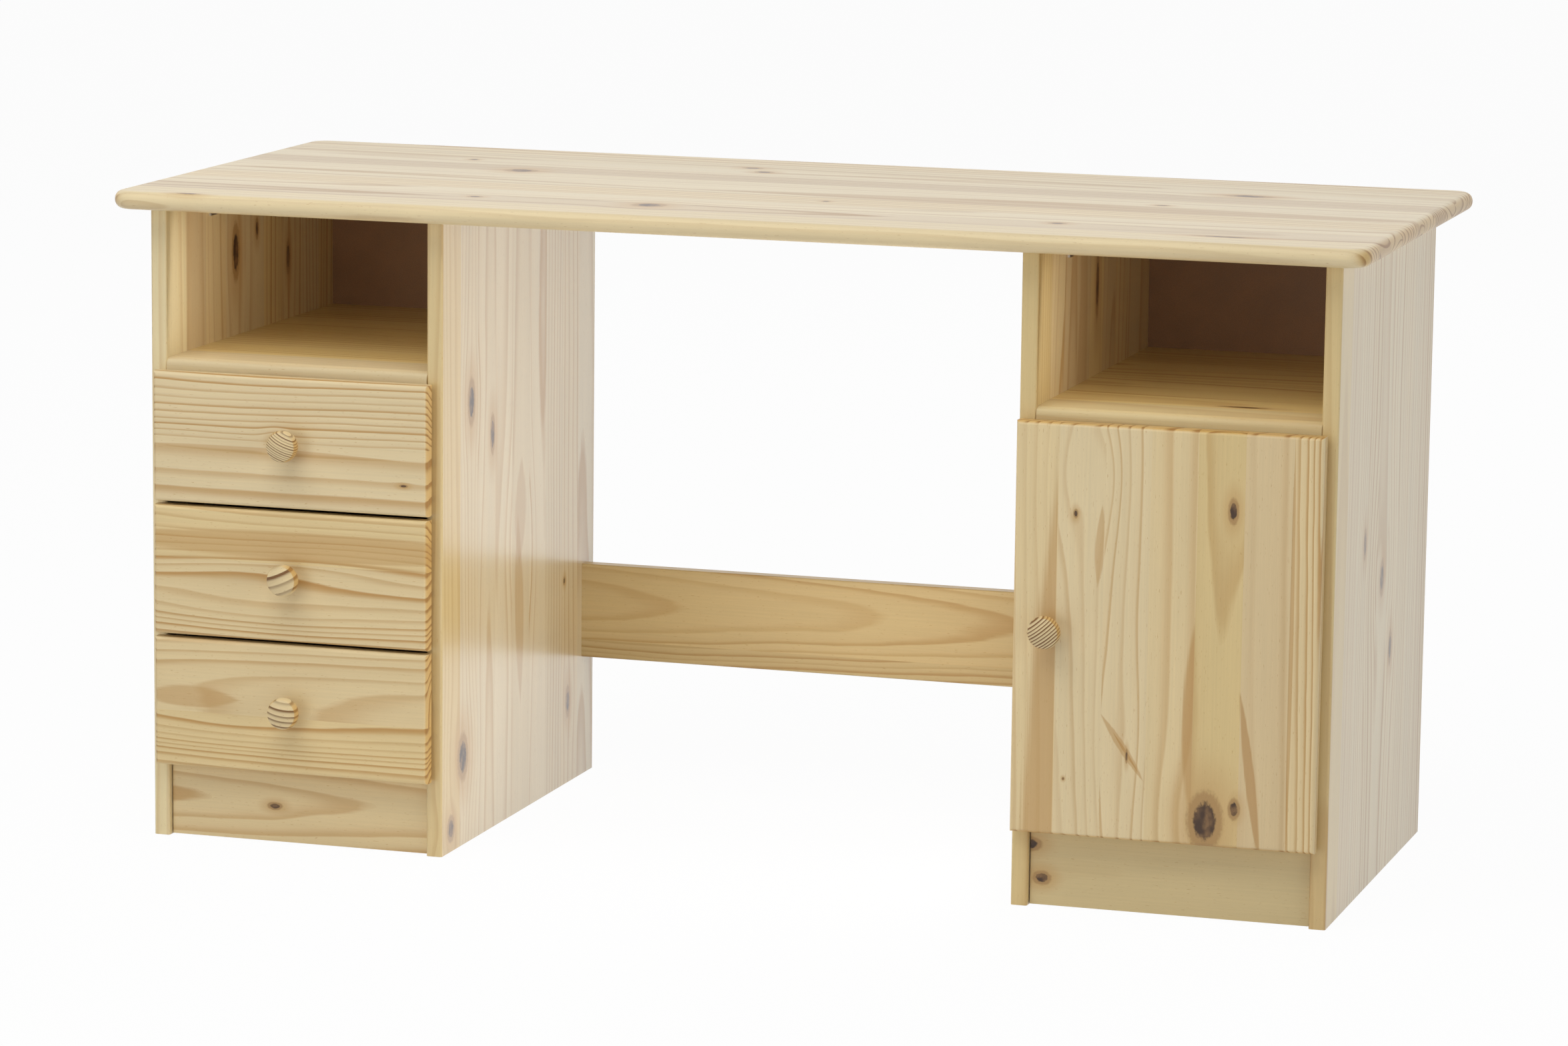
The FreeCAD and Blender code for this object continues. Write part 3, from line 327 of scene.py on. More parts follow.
def read_staves(blank, share, span, staves, late_wood):
    """The staves' colours and numbers, each read from a ramp with one flat step to a stave.

    A ramp holds values from 0 to 1, so each number is first divided by its range and then undone.
    """

    def table(colours):
        starts = [min(max(stave.start / span, 0.0), 1.0) for stave in staves]
        settings = {"stops": list(zip(starts, colours)), "interpolation": "CONSTANT"}
        return blank.node("ShaderNodeValToRGB", settings, {0: share})

    early, late, end, end_late = (
        table([tuple(np.multiply(stave.colour, tint)) for stave in staves])
        for tint in (PLAIN_WOOD, late_wood, END_WOOD, END_LATE_WOOD)
    )
    across = span + 2 * HEART_REACH
    through = 2 * HEART_REACH
    heart, deep, ring = table([
        ((s.heart + HEART_REACH) / across, (s.deep + HEART_REACH) / through, s.ring / RING_MOST)
        for s in staves
    ]).parts()
    contrast, lean, own = table([
        (s.contrast, 0.5 + s.lean / (2 * LEAN_MOST), (OWN_STEP * number + OWN_FIRST) % 1.0)
        for number, s in enumerate(staves)
    ]).parts()
    heart = heart * across - HEART_REACH
    deep = deep * through - HEART_REACH
    lean = (lean - 0.5) * (2 * LEAN_MOST)
    return Wood(early, late, end, end_late, heart, deep, ring * RING_MOST, contrast, lean, own)


print("rings up to", RING_MOST, "mm wide")

# %% Noise along the grain, and the rings
# Sizes of the noises' bumps in mm, along and across the grain
SWAY_SIZE = (420.0, 110.0)
RIPPLE_SIZE = (70.0, 14.0)
# How far the noises move the rings, in mm, and over how many years they bunch
SWAY_MM = 16.0
RIPPLE_MM = 1.7
BUNCH_YEARS = 3.0
OWN_YEARS = 91.0

# A board's places in mm along its grain, across its staves from its edge, and through it
Board = namedtuple("Board", "blank length width depth shift edge")


def grain_noise(board, size, detail=1.0):
    """Noise stretched along the grain, different in each stave."""
    ahead = board.length / size[0] + board.shift
    place = board.blank.vector(ahead, board.width / size[1], board.depth / size[1])
    return board.blank.noise(place, detail)


def year_rings(board, wood, seen, bunching):
    """The lines of the years' growth and the late wood alone, from 0 to 1, and the slow sway in mm.

    The rings are at equal distances from a heart line that leans slowly through the board:
    distance = sqrt((across - heart)^2 + (through - deep - lean * along)^2), years = distance / width
    of a year. Its whole part is the year, which has a strength of its own. Over the rest the wood
    darkens slowly, then fast, and turns pale again at the next spring.
    """
    blank = board.blank
    sway = grain_noise(board, SWAY_SIZE) * SWAY_MM
    ripple = grain_noise(board, RIPPLE_SIZE, 2.0) * RIPPLE_MM
    sideways = seen - wood.heart + sway
    deeper = board.depth - wood.deep - wood.lean * board.length + sway * 0.6
    distance = (sideways * sideways + deeper * deeper).math("SQRT") + ripple
    years = distance / wood.ring
    years = years + blank.noise(blank.vector(years / BUNCH_YEARS, board.shift, 0.0)) * bunching
    year = years.math("FLOOR")
    within = years - year
    inputs = {"W": year + wood.own * OWN_YEARS}
    strength = blank.node("ShaderNodeTexWhiteNoise", {"noise_dimensions": "1D"}, inputs, "Value")
    late_part = within.between(0.42 + wood.own * 0.3, 0.89) * (1.0 - within.between(0.91, 1.0))
    rings = (late_part * 0.8 + within.between(0.0, 0.8) * 0.2) * (strength * 0.6 + 0.4)
    return rings, late_part, sway


print("rings sway by up to", SWAY_MM / 2, "mm")

# %% Knots
KNOT_HEART = (0.055, 0.026, 0.012, 1.0)
KNOT_WHORL = (0.27, 0.15, 0.062, 1.0)
KNOT_COLLAR = (0.42, 0.25, 0.095, 1.0)
KNOT_GLOW = (0.58, 0.36, 0.14, 1.0)
# Where the colours of a knot fade out, as shares of the way from its middle to its rim
SOLID_FADE = (0.66, 0.9)
COLLAR_FADE = (1.1, 1.5)
GLOW_FADE = (1.0, 3.6)
NO_KNOT_NEAR = 9.0


def knot_fields(board, knots):
    """How near the closest knot is, and how far the knots push the grain aside.

    A knot is an ellipse, given by its place along and across the grain, half its length and half its
    width, in mm. Its distance is 0 at its middle and 1 on its rim. The push moves a point towards the
    middle by a bell curve of that distance, so the lines of grain open round the knot. A knot with a
    fifth entry is hidden in the board, and only bends the grain.
    """
    nearest = NO_KNOT_NEAR
    push = 0.0
    for along_mm, across_mm, half_length, half_width, *hidden in knots:
        aside = (across_mm - board.edge) - board.width
        ahead = (board.length - along_mm) / half_length
        sideways = aside / half_width
        square = ahead * ahead + sideways * sideways
        push = aside * (square * -0.11).math("EXPONENT") * 0.75 + push
        if not hidden:
            nearest = square.math("SQRT").at_most(nearest)
    return nearest, push


def add_knots(board, nearest, lines, colour, height):
    """The knots over a board's colour: a brown glow, a collar on the rim, and dark whorls inside."""
    blank = board.blank
    length, width, depth = board.length, board.width, board.depth
    rough = blank.noise(blank.vector(length / 5.0, width / 3.0, depth / 9.0), 2.0)
    ragged = nearest + rough * 0.5
    glow = (1.0 - ragged.between(*GLOW_FADE)) * (0.75 + rough * 0.5 + lines * 0.4)
    colour = (glow * 0.75).mix(colour, KNOT_GLOW)
    collar = (1.0 - ragged.between(*COLLAR_FADE)) * 0.85
    colour = collar.mix(colour, KNOT_COLLAR)
    patch = blank.noise(blank.vector(length / 13.0, width / 9.0, depth / 13.0))
    whorl = (patch * 2.4 + 0.4).between(0.0, 1.0) * (0.6 + (ragged * 3.0).math("FRACT") * 0.5)
    solid = 1.0 - ragged.between(*SOLID_FADE)
    colour = solid.mix(colour, whorl.mix(KNOT_HEART, KNOT_WHORL))
    return colour, height - solid * 0.3


print("a knot's glow ends", GLOW_FADE[1], "half-widths from its middle")

# %% Streaks of heartwood
JOINT_MM = 0.4


def add_streaks(board, wood, joints, streaks, sway, streaky, colour):
    """Streaks of darker heartwood over a board's colour.

    A streak is a long slanting lens, cut off at the joints of its stave. It is given by the number
    of its stave, its place along and across the grain, half its length and half its width in mm,
    its slant and its depth of colour. It ends where (along / half length)^2 + |across| / half width
    is about 1.
    """
    for number, along_mm, across_mm, half_length, half_width, slant, shade in streaks:
        first, last = joints[number], joints[number + 1]
        ahead = board.length - along_mm
        aside = (board.width + board.edge - across_mm - ahead * slant + sway * 0.35) / half_width
        ahead = ahead / half_length
        outside = (ahead * ahead + aside.math("ABSOLUTE") + streaky * 0.35).between(0.7, 1.05)
        begun = board.width.between(first - JOINT_MM, first + JOINT_MM)
        ended = board.width.between(last - JOINT_MM, last + JOINT_MM)
        brown = (1.0 - outside) * begun * (1.0 - ended)
        colour = (brown * shade).mix(colour, wood.late)
    return colour


print("streaks stop within", JOINT_MM, "mm of a joint")

# %% The pine finish
MM = 1000.0
AXES = "xyz"
LATE_WOOD = (0.66, 0.46, 0.25)
# Sizes of more noises, in mm along and across the grain
CLOUD_SIZE = (260.0, 30.0)
STREAKY_SIZE = (150.0, 2.2)
FIBRE_SIZE = (14.0, 0.45)
FLECK_SIZE = (7.0, 0.8)
OWN_SHIFT = 37.0
# How much the years bunch and how bold their lines are, on a sawn board and on a turned knob
SAWN_LINES = (1.6, 1.0)
TURNED_LINES = (0.5, 2.2)
GRAIN_RELIEF = 0.0003
# The lacquer's second, clear layer: how much of it there is, and how rough it is
Coat = namedtuple("Coat", "weight roughness")
THIN_COAT = Coat(0.15, 0.2)


def pine(name, grain, low, high, staves, knots=(), streaks=(), late_wood=LATE_WOOD, coat=THIN_COAT,
         middle=None, turn=None):
    """Lacquered pine between two corners: `grain` names the axes along the grain and across the staves.

    A turned piece also has a middle, where its corners are measured from, and a turn of its grain.
    """
    material, blank, shader = new_material(name)
    place = blank.node("ShaderNodeTexCoord", None, None, "Object")
    facing = blank.node("ShaderNodeTexCoord", None, None, "Normal")
    if middle:
        settings = {"vector_type": "TEXTURE"}
        inputs = {"Vector": place, "Location": middle, "Rotation": turn}
        place = blank.node("ShaderNodeMapping", settings, inputs)
        facing = blank.node("ShaderNodeMapping", settings, {"Vector": facing, "Rotation": turn})
    along, across = (AXES.index(letter) for letter in grain)
    through = 3 - along - across
    sides = [side * MM for side in place.parts()]
    edge = low[across] * MM
    span = (high[across] - low[across]) * MM
    width = sides[across] - edge
    depth = sides[through] - (low[through] + high[through]) / 2 * MM
    wood = read_staves(blank, width / span, span, staves, late_wood)
    board = Board(blank, sides[along], width, depth, wood.own * OWN_SHIFT, edge)

    seen = width
    if knots:
        nearest, push = knot_fields(board, knots)
        seen = width + push
    bunching, boldness = TURNED_LINES if middle else SAWN_LINES
    rings, late_part, sway = year_rings(board, wood, seen, bunching)
    lines = (rings * wood.contrast * boldness).at_most(1.0)

    # The ends of a board soak up more lacquer and show their rings more strongly
    end_on = facing.parts()[along].math("ABSOLUTE").between(0.3, 0.85)
    amount = (lines + late_part * end_on * 0.8).at_most(1.0)
    colour = amount.mix(end_on.mix(wood.early, wood.end), end_on.mix(wood.late, wood.end_late))
    cloud = grain_noise(board, CLOUD_SIZE, 2.0)
    streaky = grain_noise(board, STREAKY_SIZE, 2.0)
    fibre = grain_noise(board, FIBRE_SIZE, 3.0)
    colour = (1.0 + cloud * 0.14 + streaky * 0.12 + fibre * 0.09).scale(colour)
    fleck = grain_noise(board, FLECK_SIZE).between(0.2, 0.27)
    colour = (fleck * 0.55).mix(colour, wood.late)
    joints = [stave.start for stave in staves] + [span]
    colour = add_streaks(board, wood, joints, streaks, sway, streaky, colour)
    height = fibre * 0.35 - lines * 0.5
    if knots:
        colour, height = add_knots(board, nearest, lines, colour, height)

    colour.feed(shader, "Base Color")
    (0.36 + fibre * 0.08 + lines * 0.06).feed(shader, "Roughness")
    inputs = {"Strength": 0.35, "Distance": GRAIN_RELIEF, "Height": height}
    blank.node("ShaderNodeBump", None, inputs).feed(shader, "Normal")
    shader.inputs["Specular IOR Level"].default_value = 0.42
    shader.inputs["Coat Weight"].default_value = coat.weight
    shader.inputs["Coat Roughness"].default_value = coat.roughness
    return material


print("pine with grain up to", GRAIN_RELIEF * MM, "mm deep")

# %% [markdown]
# ## Which stave goes where
# The door and the drawer fronts show their staves plainly, so those are set one by one from the
# photograph: pale ones, yellow ones, a brown streak beside the door's knob. The other boards take
# theirs from a seeded draw, so no two boards are alike and every run is the same. A draw has a look:
# the colours it picks from, and the ranges of a year's width and of the lines' strength.

# %% Colours of pine, and a seeded draw of staves
PALE = (0.80, 0.655, 0.395)
CREAM = (0.79, 0.63, 0.355)
YELLOW = (0.785, 0.615, 0.32)
ROSY = (0.73, 0.57, 0.325)
HONEY = (0.74, 0.57, 0.275)
FLAT_SAWN_SHARE = 0.55
SHADES = (0.96, 1.03)
LEANS = (0.008, 0.03)
FIRST_CONTRAST = 0.4

Look = namedtuple("Look", "colours years contrast")
EVERY = Look((PALE, CREAM, YELLOW, ROSY), (3.6, 6.2), (0.55, 0.95))


def drawn_staves(seed, span, stave_width, look):
    """Staves of about one width, with colours, hearts and years' growth from a seeded draw."""
    draw = np.random.default_rng(seed)
    count = max(1, round(span / stave_width))
    starts = np.arange(count) * span / count
    staves = []
    for start in starts:
        colour = np.array(look.colours[draw.integers(len(look.colours))]) * draw.uniform(*SHADES)
        flat_sawn = draw.random() < FLAT_SAWN_SHARE
        aside = draw.uniform(5, 55) if flat_sawn else draw.choice([-1, 1]) * draw.uniform(70, 130)
        deep = draw.choice([-1, 1]) * (draw.uniform(35, 75) if flat_sawn else draw.uniform(10, 60))
        lean = draw.choice([-1, 1]) * draw.uniform(*LEANS)
        ring = draw.uniform(*look.years)
        contrast = draw.uniform(*look.contrast)
        staves.append(Stave(start, tuple(colour), start + aside, deep, ring, contrast, lean))
    return staves


def wear(node, material):
    """Give a CAD node one material."""
    nodes[node].data.materials.clear()
    nodes[node].data.materials.append(material)


def dress(node, grain, staves=None, knots=(), streaks=(), seed=0, stave_width=58.0, look=EVERY,
          first=None, late_wood=LATE_WOOD, coat=THIN_COAT):
    """Give one board its own pine, the first of its staves in a given colour."""
    low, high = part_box(node)
    across = AXES.index(grain[1])
    span = (high[across] - low[across]) * MM
    staves = staves or drawn_staves(seed, span, stave_width, look)
    if first:
        staves[0] = staves[0]._replace(colour=first, contrast=FIRST_CONTRAST)
    wear(node, pine(f"pine_{node}", grain, low, high, staves, knots, streaks, late_wood, coat))


print("staves are drawn from", len(EVERY.colours), "colours")

# %% [markdown]
# ## The top
# The top is one glued panel with its staves along the desk. Seen at a low angle its lines run close
# together, so wide years and a darker late wood keep them from melting into one colour. Its knots
# are where the photograph has them.

# %% Dress the top
TOP_LATE_WOOD = (0.55, 0.38, 0.20)
TOP_COLOURS = ((0.79, 0.66, 0.43), (0.775, 0.635, 0.395), (0.77, 0.615, 0.365), (0.715, 0.57, 0.36))
TOP = Look(TOP_COLOURS, (8.0, 15.0), (0.55, 0.95))
TOP_KNOTS = [
    (-604, -285, 12, 3), (-442, 166, 5, 5), (-352, 77, 15, 13), (-119, 205, 10, 6), (-94, 170, 9, 7),
    (-309, -190, 7, 5), (-109, -193, 15, 14), (56, -84, 4, 4), (473, 146, 22, 9), (404, 21, 7, 4),
    (341, -185, 8, 6), (533, -235, 28, 4),
]
TOP_STREAKS = [(4, 330, -25, 460, 34, 0.0, 0.55)]
dress("desk_top", "xy", knots=TOP_KNOTS, streaks=TOP_STREAKS, seed=11, stave_width=60.0, look=TOP,
      first=PALE, late_wood=TOP_LATE_WOOD)
print("the top has", len(TOP_KNOTS), "knots")

# %% [markdown]
# ## The upright panels
# The four sides are glued panels with their staves upright. On the left pedestal's inner side the
# photograph shows the stretcher mirrored in the lacquer. Painting that patch on would be wrong from
# any other place, so that panel has a full clear coat, which mirrors the real stretcher.

# %% Dress the upright panels
PANEL_STAVE = 56.0
GLOSSY_COAT = Coat(0.45, 0.3)
FULL_COAT = Coat(1.0, 0.22)
WIDE = Look((PALE, CREAM, YELLOW, ROSY), (8.0, 15.0), (0.55, 0.95))
# Painted sheen: the kneehole panel's pine is paler and less yellow than the other panels'. This is the
# pine's own colour with part of its lacquer's white sheen painted in.
KNEEHOLE_PINE_AND_SHEEN_COLOURS = ((0.80, 0.69, 0.48), (0.79, 0.675, 0.46), (0.78, 0.655, 0.43))
KNEEHOLE_PINE_AND_SHEEN = Look(KNEEHOLE_PINE_AND_SHEEN_COLOURS, (9.0, 14.0), (0.6, 0.95))
OUTSIDE_COLOURS = ((0.79, 0.66, 0.42), (0.77, 0.635, 0.395), (0.755, 0.61, 0.375))
OUTSIDE = Look(OUTSIDE_COLOURS, (9.0, 14.0), (0.7, 1.0))
LEFT_INNER_KNOTS = [
    (491, -164, 21, 9), (446, -97, 18, 6), (99, -189, 21, 13), (26, -226, 12, 9), (96, 158, 15, 6),
    (240, 144, 4, 3), (305, -5, 34, 18, "hidden"),
]
LEFT_INNER_STREAKS = [(4, 345, -5, 64, 20, 0.05, 0.45), (4, 235, -8, 115, 16, -0.05, 0.5)]
RIGHT_OUTER_KNOTS = [
    (384, -101, 14, 6), (332, -5, 16, 9), (246, 51, 15, 7), (332, -5, 40, 22, "hidden"),
]
RIGHT_OUTER_STREAKS = [(0, 20, -256, 130, 9, 0.0, 0.5)]
LEFT_OUTER_KNOTS = [(629, -58, 26, 9), (649, 4, 10, 4), (606, 97, 16, 5)]
RIGHT_INNER_KNOTS = [(634, -3, 30, 6)]
# Painted light: the left outer panel's front stave is paler than any other pine, for the light that
# falls on the desk's left end.
LEFT_OUTER_FIRST_PAINTED_LIGHT = (0.86, 0.725, 0.43)
PANELS = {
    "left_inner_side": (LEFT_INNER_KNOTS, LEFT_INNER_STREAKS, 21, KNEEHOLE_PINE_AND_SHEEN, HONEY, FULL_COAT),
    "right_outer_side": (RIGHT_OUTER_KNOTS, RIGHT_OUTER_STREAKS, 22, OUTSIDE, HONEY, GLOSSY_COAT),
    "left_outer_side": (LEFT_OUTER_KNOTS, (), 23, WIDE, LEFT_OUTER_FIRST_PAINTED_LIGHT, THIN_COAT),
    "right_inner_side": (RIGHT_INNER_KNOTS, (), 24, WIDE, HONEY, THIN_COAT),
}
for panel, (knots, streaks, seed, look, first, coat) in PANELS.items():
    dress(panel, "zy", None, knots, streaks, seed, PANEL_STAVE, look, first, coat=coat)
print("dressed", ", ".join(PANELS))

# %% [markdown]
# ## The door
# The door is what one looks at first: seven upright staves, with a big knot at the foot and brown
# heartwood beside the knob. Drawn staves could not match it, so each is set one by one. Hidden knots
# bend the grain where a branch just missed the face.

# %% Dress the door
DOOR_KNOTS = [
    (440, 558, 11, 4.5), (111, 535, 25, 15), (126, 566, 9, 5), (428, 390, 4, 2),
    (440, 396, 22, 10, "hidden"), (480, 404, 16, 9, "hidden"), (174, 450, 6, 1.2),
    (185, 440, 30, 8, "hidden"), (145, 382, 1.5, 1.2),
]
DOOR_STAVES = [
    Stave(0.0, CREAM, -60.0, 60.0, 12.0, 0.3, 0.02),
    Stave(46.3, PALE, 20.0, 70.0, 9.0, 0.5, 0.03),
    Stave(96.6, PALE, -30.0, 30.0, 13.0, 0.75, 0.004),
    Stave(145.4, CREAM, 60.0, 60.0, 26.0, 0.75, 0.01),
    Stave(195.8, HONEY, 226.0, -70.0, 8.0, 0.5, 0.02),
    Stave(244.9, ROSY, 140.0, 90.0, 30.0, 0.35, 0.01),
    Stave(296.0, CREAM, 250.0, 60.0, 5.4, 0.95, 0.01),
]
DOOR_STREAKS = [
    (0, 170, 372, 440, 36, 0.055, 0.6), (1, 395, 417, 46, 6, 0.05, 0.5),
    (3, 212, 521, 116, 13, 0.0, 0.7), (5, 160, 582, 96, 6, -0.14, 0.7),
    (6, 300, 622, 240, 3, 0.0, 0.6), (2, 183, 445, 36, 6, -0.68, 0.6),
    (2, 178, 449, 22, 2, -0.68, 0.9),
]
dress("door_panel", "zx", DOOR_STAVES, DOOR_KNOTS, DOOR_STREAKS)
print("the door has", len(DOOR_STAVES), "staves")

# %% [markdown]
# ## The drawer fronts
# Each front is glued from two wide staves, with the grain from side to side. Their big arches are
# flat-sawn wood: the heart of the log lay just behind the face, so the rings meet it at a slant.

# %% Dress the drawer fronts
UPPER_STAVES = [
    Stave(0.0, PALE, -60.0, 25.0, 21.0, 0.9, 0.012),
    Stave(72.0, PALE, 215.0, 60.0, 6.8, 1.0, 0.01),
]
UPPER_KNOTS = [(-359, 412, 4, 1.5), (-508, 452, 5, 4)]
UPPER_STREAKS = [(0, -520, 441, 170, 4, -0.01, 0.5)]
MIDDLE_STAVES = [
    Stave(0.0, CREAM, -50.0, 30.0, 9.0, 1.0, 0.012),
    Stave(86.0, YELLOW, 190.0, 34.0, 9.0, 0.8, -0.02),
]
MIDDLE_KNOTS = [
    (-560, 292, 40, 9, "hidden"), (-420, 300, 50, 10, "hidden"), (-500, 268, 60, 8, "hidden"),
]
MIDDLE_STREAKS = [(1, -470, 338, 300, 18, 0.0, 0.5)]
LOWER_STAVES = [
    Stave(0.0, YELLOW, -30.0, 40.0, 8.0, 0.95, 0.03),
    Stave(62.0, CREAM, 66.0, 30.0, 10.0, 1.0, -0.05),
]
LOWER_KNOTS = [(-610, 162, 60, 13, "hidden"), (-440, 150, 70, 12, "hidden")]
LOWER_STREAKS = [(1, -610, 163, 62, 14, 0.0, 0.5)]
dress("upper_drawer_front", "xz", UPPER_STAVES, UPPER_KNOTS, UPPER_STREAKS)
dress("middle_drawer_front", "xz", MIDDLE_STAVES, MIDDLE_KNOTS, MIDDLE_STREAKS)
dress("lower_drawer_front", "xz", LOWER_STAVES, LOWER_KNOTS, LOWER_STREAKS)
print("dressed the fronts of 3 drawers")

# %% [markdown]
# ## The other boards
# The shelves, bottoms, plinths, stretcher, drawer boxes and runners are plain boards of one or more
# staves. The shelves lie in shade, so their pine is painted warmer and more yellow: painted shade.
# The drawer boxes and runners hardly show, and the draw alone serves for them.

# %% Dress the other boards
# Painted shade: the shelves' pine is warmer and more yellow for the shade they lie in. Their front
# edges get darker colours of their own.
SHELF_IN_PAINTED_SHADE = Look(((0.78, 0.61, 0.28), (0.77, 0.595, 0.26)), (8.0, 15.0), (0.7, 1.0))
RIGHT_SHELF_KNOTS = [(545, -180, 22, 4)]
dress("left_cubby_shelf", "xy", seed=31, look=SHELF_IN_PAINTED_SHADE, first=(0.70, 0.575, 0.345))
dress("right_cubby_shelf", "xy", knots=RIGHT_SHELF_KNOTS, seed=32, look=SHELF_IN_PAINTED_SHADE,
      first=(0.69, 0.555, 0.295))
dress("left_bottom", "xy", seed=33)
dress("right_bottom", "xy", seed=34)
LEFT_PLINTH = [Stave(0.0, CREAM, 44.0, 50.0, 9.0, 0.85, 0.04)]
RIGHT_PLINTH = [Stave(0.0, (0.68, 0.545, 0.29), 40.0, 120.0, 14.0, 0.3, 0.02)]
dress("left_plinth", "xz", LEFT_PLINTH, [(-521, 40.6, 7, 3.5)])
dress("right_plinth", "xz", RIGHT_PLINTH, [(354, 30, 8, 6), (341, 66, 10, 6)])
STRETCHER_STAVES = [
    Stave(0.0, (0.64, 0.49, 0.245), 60.0, 40.0, 5.0, 0.7, 0.02),
    Stave(21.0, (0.705, 0.54, 0.27), 70.0, 60.0, 7.0, 0.7, 0.03),
]
dress("stretcher", "xz", STRETCHER_STAVES)
DRAWERS = ("upper", "middle", "lower")
BOX_STAVE = 105.0
RUNNER_STAVE = 20.0
for number, drawer in enumerate(DRAWERS):
    dress(f"{drawer}_drawer_left_side", "yz", seed=40 + number, stave_width=BOX_STAVE)
    dress(f"{drawer}_drawer_right_side", "yz", seed=50 + number, stave_width=BOX_STAVE)
    dress(f"{drawer}_drawer_back", "xz", seed=60 + number, stave_width=BOX_STAVE)
    dress(f"{drawer}_left_runner", "yz", seed=70 + number, stave_width=RUNNER_STAVE)
    dress(f"{drawer}_right_runner", "yz", seed=80 + number, stave_width=RUNNER_STAVE)
print("dressed", sum(name.startswith("pine_") for name in bpy.data.materials.keys()), "boards")

# %% [markdown]
# ## Turned knobs
# Each knob is turned from its own small block, so its grain runs at its own angle across the face.
# The same pine serves, with darker lines that bunch less: a Mapping node puts its middle on the knob
# and turns the grain about the knob's own axis, while the knob itself stays where the CAD has it.

# %% Grain of the knobs
KNOB_LATE_WOOD = (0.23, 0.125, 0.055)
KNOB_HEART_AWAY = 110.0
KNOB_HEART_DEEP = 20.0
# The angle of a knob's grain in degrees, the width of a year in mm and the strength of its lines
KNOB_GRAIN = {
    "upper_drawer_knob": (-25.0, 2.7, 0.6),
    "middle_drawer_knob": (22.0, 9.5, 0.6),
    "lower_drawer_knob": (-8.0, 6.4, 0.5),
    "door_knob": (38.0, 3.1, 1.0),
}
for knob, (angle, ring, contrast) in KNOB_GRAIN.items():
    low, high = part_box(knob)
    middle = tuple((low + high) / 2)
    half = (high - low) / 2
    heart = half.z * MM - KNOB_HEART_AWAY
    block = [Stave(0.0, CREAM, heart, KNOB_HEART_DEEP, ring, contrast, 0.0)]
    turn = (0.0, math.radians(-angle), 0.0)
    finish = pine(f"pine_{knob}", "xz", -half, half, block, late_wood=KNOB_LATE_WOOD, middle=middle,
                  turn=turn)
    wear(knob, finish)
print("turned", len(KNOB_GRAIN), "knobs' grain")

# %% [markdown]
# ## Hardboard, dowels, steel, plastic and magnet
# Hardboard is pressed brown fibre with a smooth face, so it has a fine mottle. Dowels are plain
# beech. The steel is plated: its colour is nearly even, and a polish that varies scuffs the
# reflections. One even finish with a little noise serves for all of them, with other sizes and
# colours.

# %% The other finishes
PATCHES_PER_M = 24.0


def mottled(name, colours, grain_mm, roughness, bump_mm, metallic=0.0):
    """An even finish: noise of a given size between two colours, with a little unevenness.

    The mix is a noise with its size in mm along each axis, plus slower patches, and the same noises
    move the roughness.
    """
    material, blank, shader = new_material(name)
    sides = blank.node("ShaderNodeTexCoord", None, None, "Object").parts()
    fine = blank.vector(*(side * (MM / size) for side, size in zip(sides, grain_mm)))
    speckle = blank.noise(fine, 4.0)
    patch = blank.noise(blank.vector(*(side * PATCHES_PER_M for side in sides)), 2.0)
    amount = (speckle * 1.3 + patch * 0.5 + 0.5).between(0.1, 0.9)
    amount.mix((*colours[0], 1.0), (*colours[1], 1.0)).feed(shader, "Base Color")
    (roughness + speckle * 0.14 + patch * 0.12).feed(shader, "Roughness")
    inputs = {"Strength": 0.3, "Distance": bump_mm / MM, "Height": speckle}
    blank.node("ShaderNodeBump", None, inputs).feed(shader, "Normal")
    shader.inputs["Metallic"].default_value = metallic
    return material


HARDBOARD_COLOURS = [(0.25, 0.135, 0.066), (0.37, 0.2, 0.1)]
BEECH_COLOURS = [(0.52, 0.36, 0.2), (0.64, 0.47, 0.29)]
ZINC_COLOURS = [(0.56, 0.57, 0.58), (0.66, 0.67, 0.67)]
NICKEL_COLOURS = [(0.62, 0.59, 0.54), (0.7, 0.67, 0.62)]
PLASTIC_COLOURS = [(0.74, 0.73, 0.69), (0.8, 0.79, 0.75)]
FERRITE_COLOURS = [(0.018, 0.018, 0.02), (0.04, 0.04, 0.043)]
FINISHES = {
    "hardboard": mottled("hardboard", HARDBOARD_COLOURS, (0.9, 0.9, 0.9), 0.5, 0.1),
    "dowel_wood": mottled("dowel_wood", BEECH_COLOURS, (6.0, 0.8, 0.8), 0.6, 0.1),
    "zinc_steel": mottled("zinc_steel", ZINC_COLOURS, (1.4, 1.4, 1.4), 0.34, 0.02, 1.0),
    "nickel_steel": mottled("nickel_steel", NICKEL_COLOURS, (0.8, 0.8, 0.8), 0.24, 0.01, 1.0),
    "white_plastic": mottled("white_plastic", PLASTIC_COLOURS, (0.6, 0.6, 0.6), 0.42, 0.03),
    "magnet": mottled("magnet", FERRITE_COLOURS, (0.35, 0.35, 0.35), 0.6, 0.05),
}
zinc = FINISHES["zinc_steel"]
for subpart in frame["record"]["subparts"]:
    if subpart["material_slot"] in FINISHES:
        wear(subpart["node"], FINISHES[subpart["material_slot"]])
print("other finishes", len(FINISHES))

# %% [markdown]
# ## Screws and pins
# Small screws hold the runners, hinges, brackets and catch, and panel pins hold the backs. A screw's
# head could be a cylinder with a cross cut out of it, but a cut leaves awkward faces. Here each head
# is a disc on a polar grid whose spokes are moved to the edges of the cross, so about a hundred
# faces give a crisp recess.

# %% Screw heads and pin heads
ARM_HALF_WIDTH = 0.17
ARM_REACH = 0.55
SCREW_SHARES = (0.24, 0.5, 0.58, 0.86, 1.0, 1.0)
PIN_SHARES = (0.4, 0.8, 1.0)
PIN_SPOKES = 8


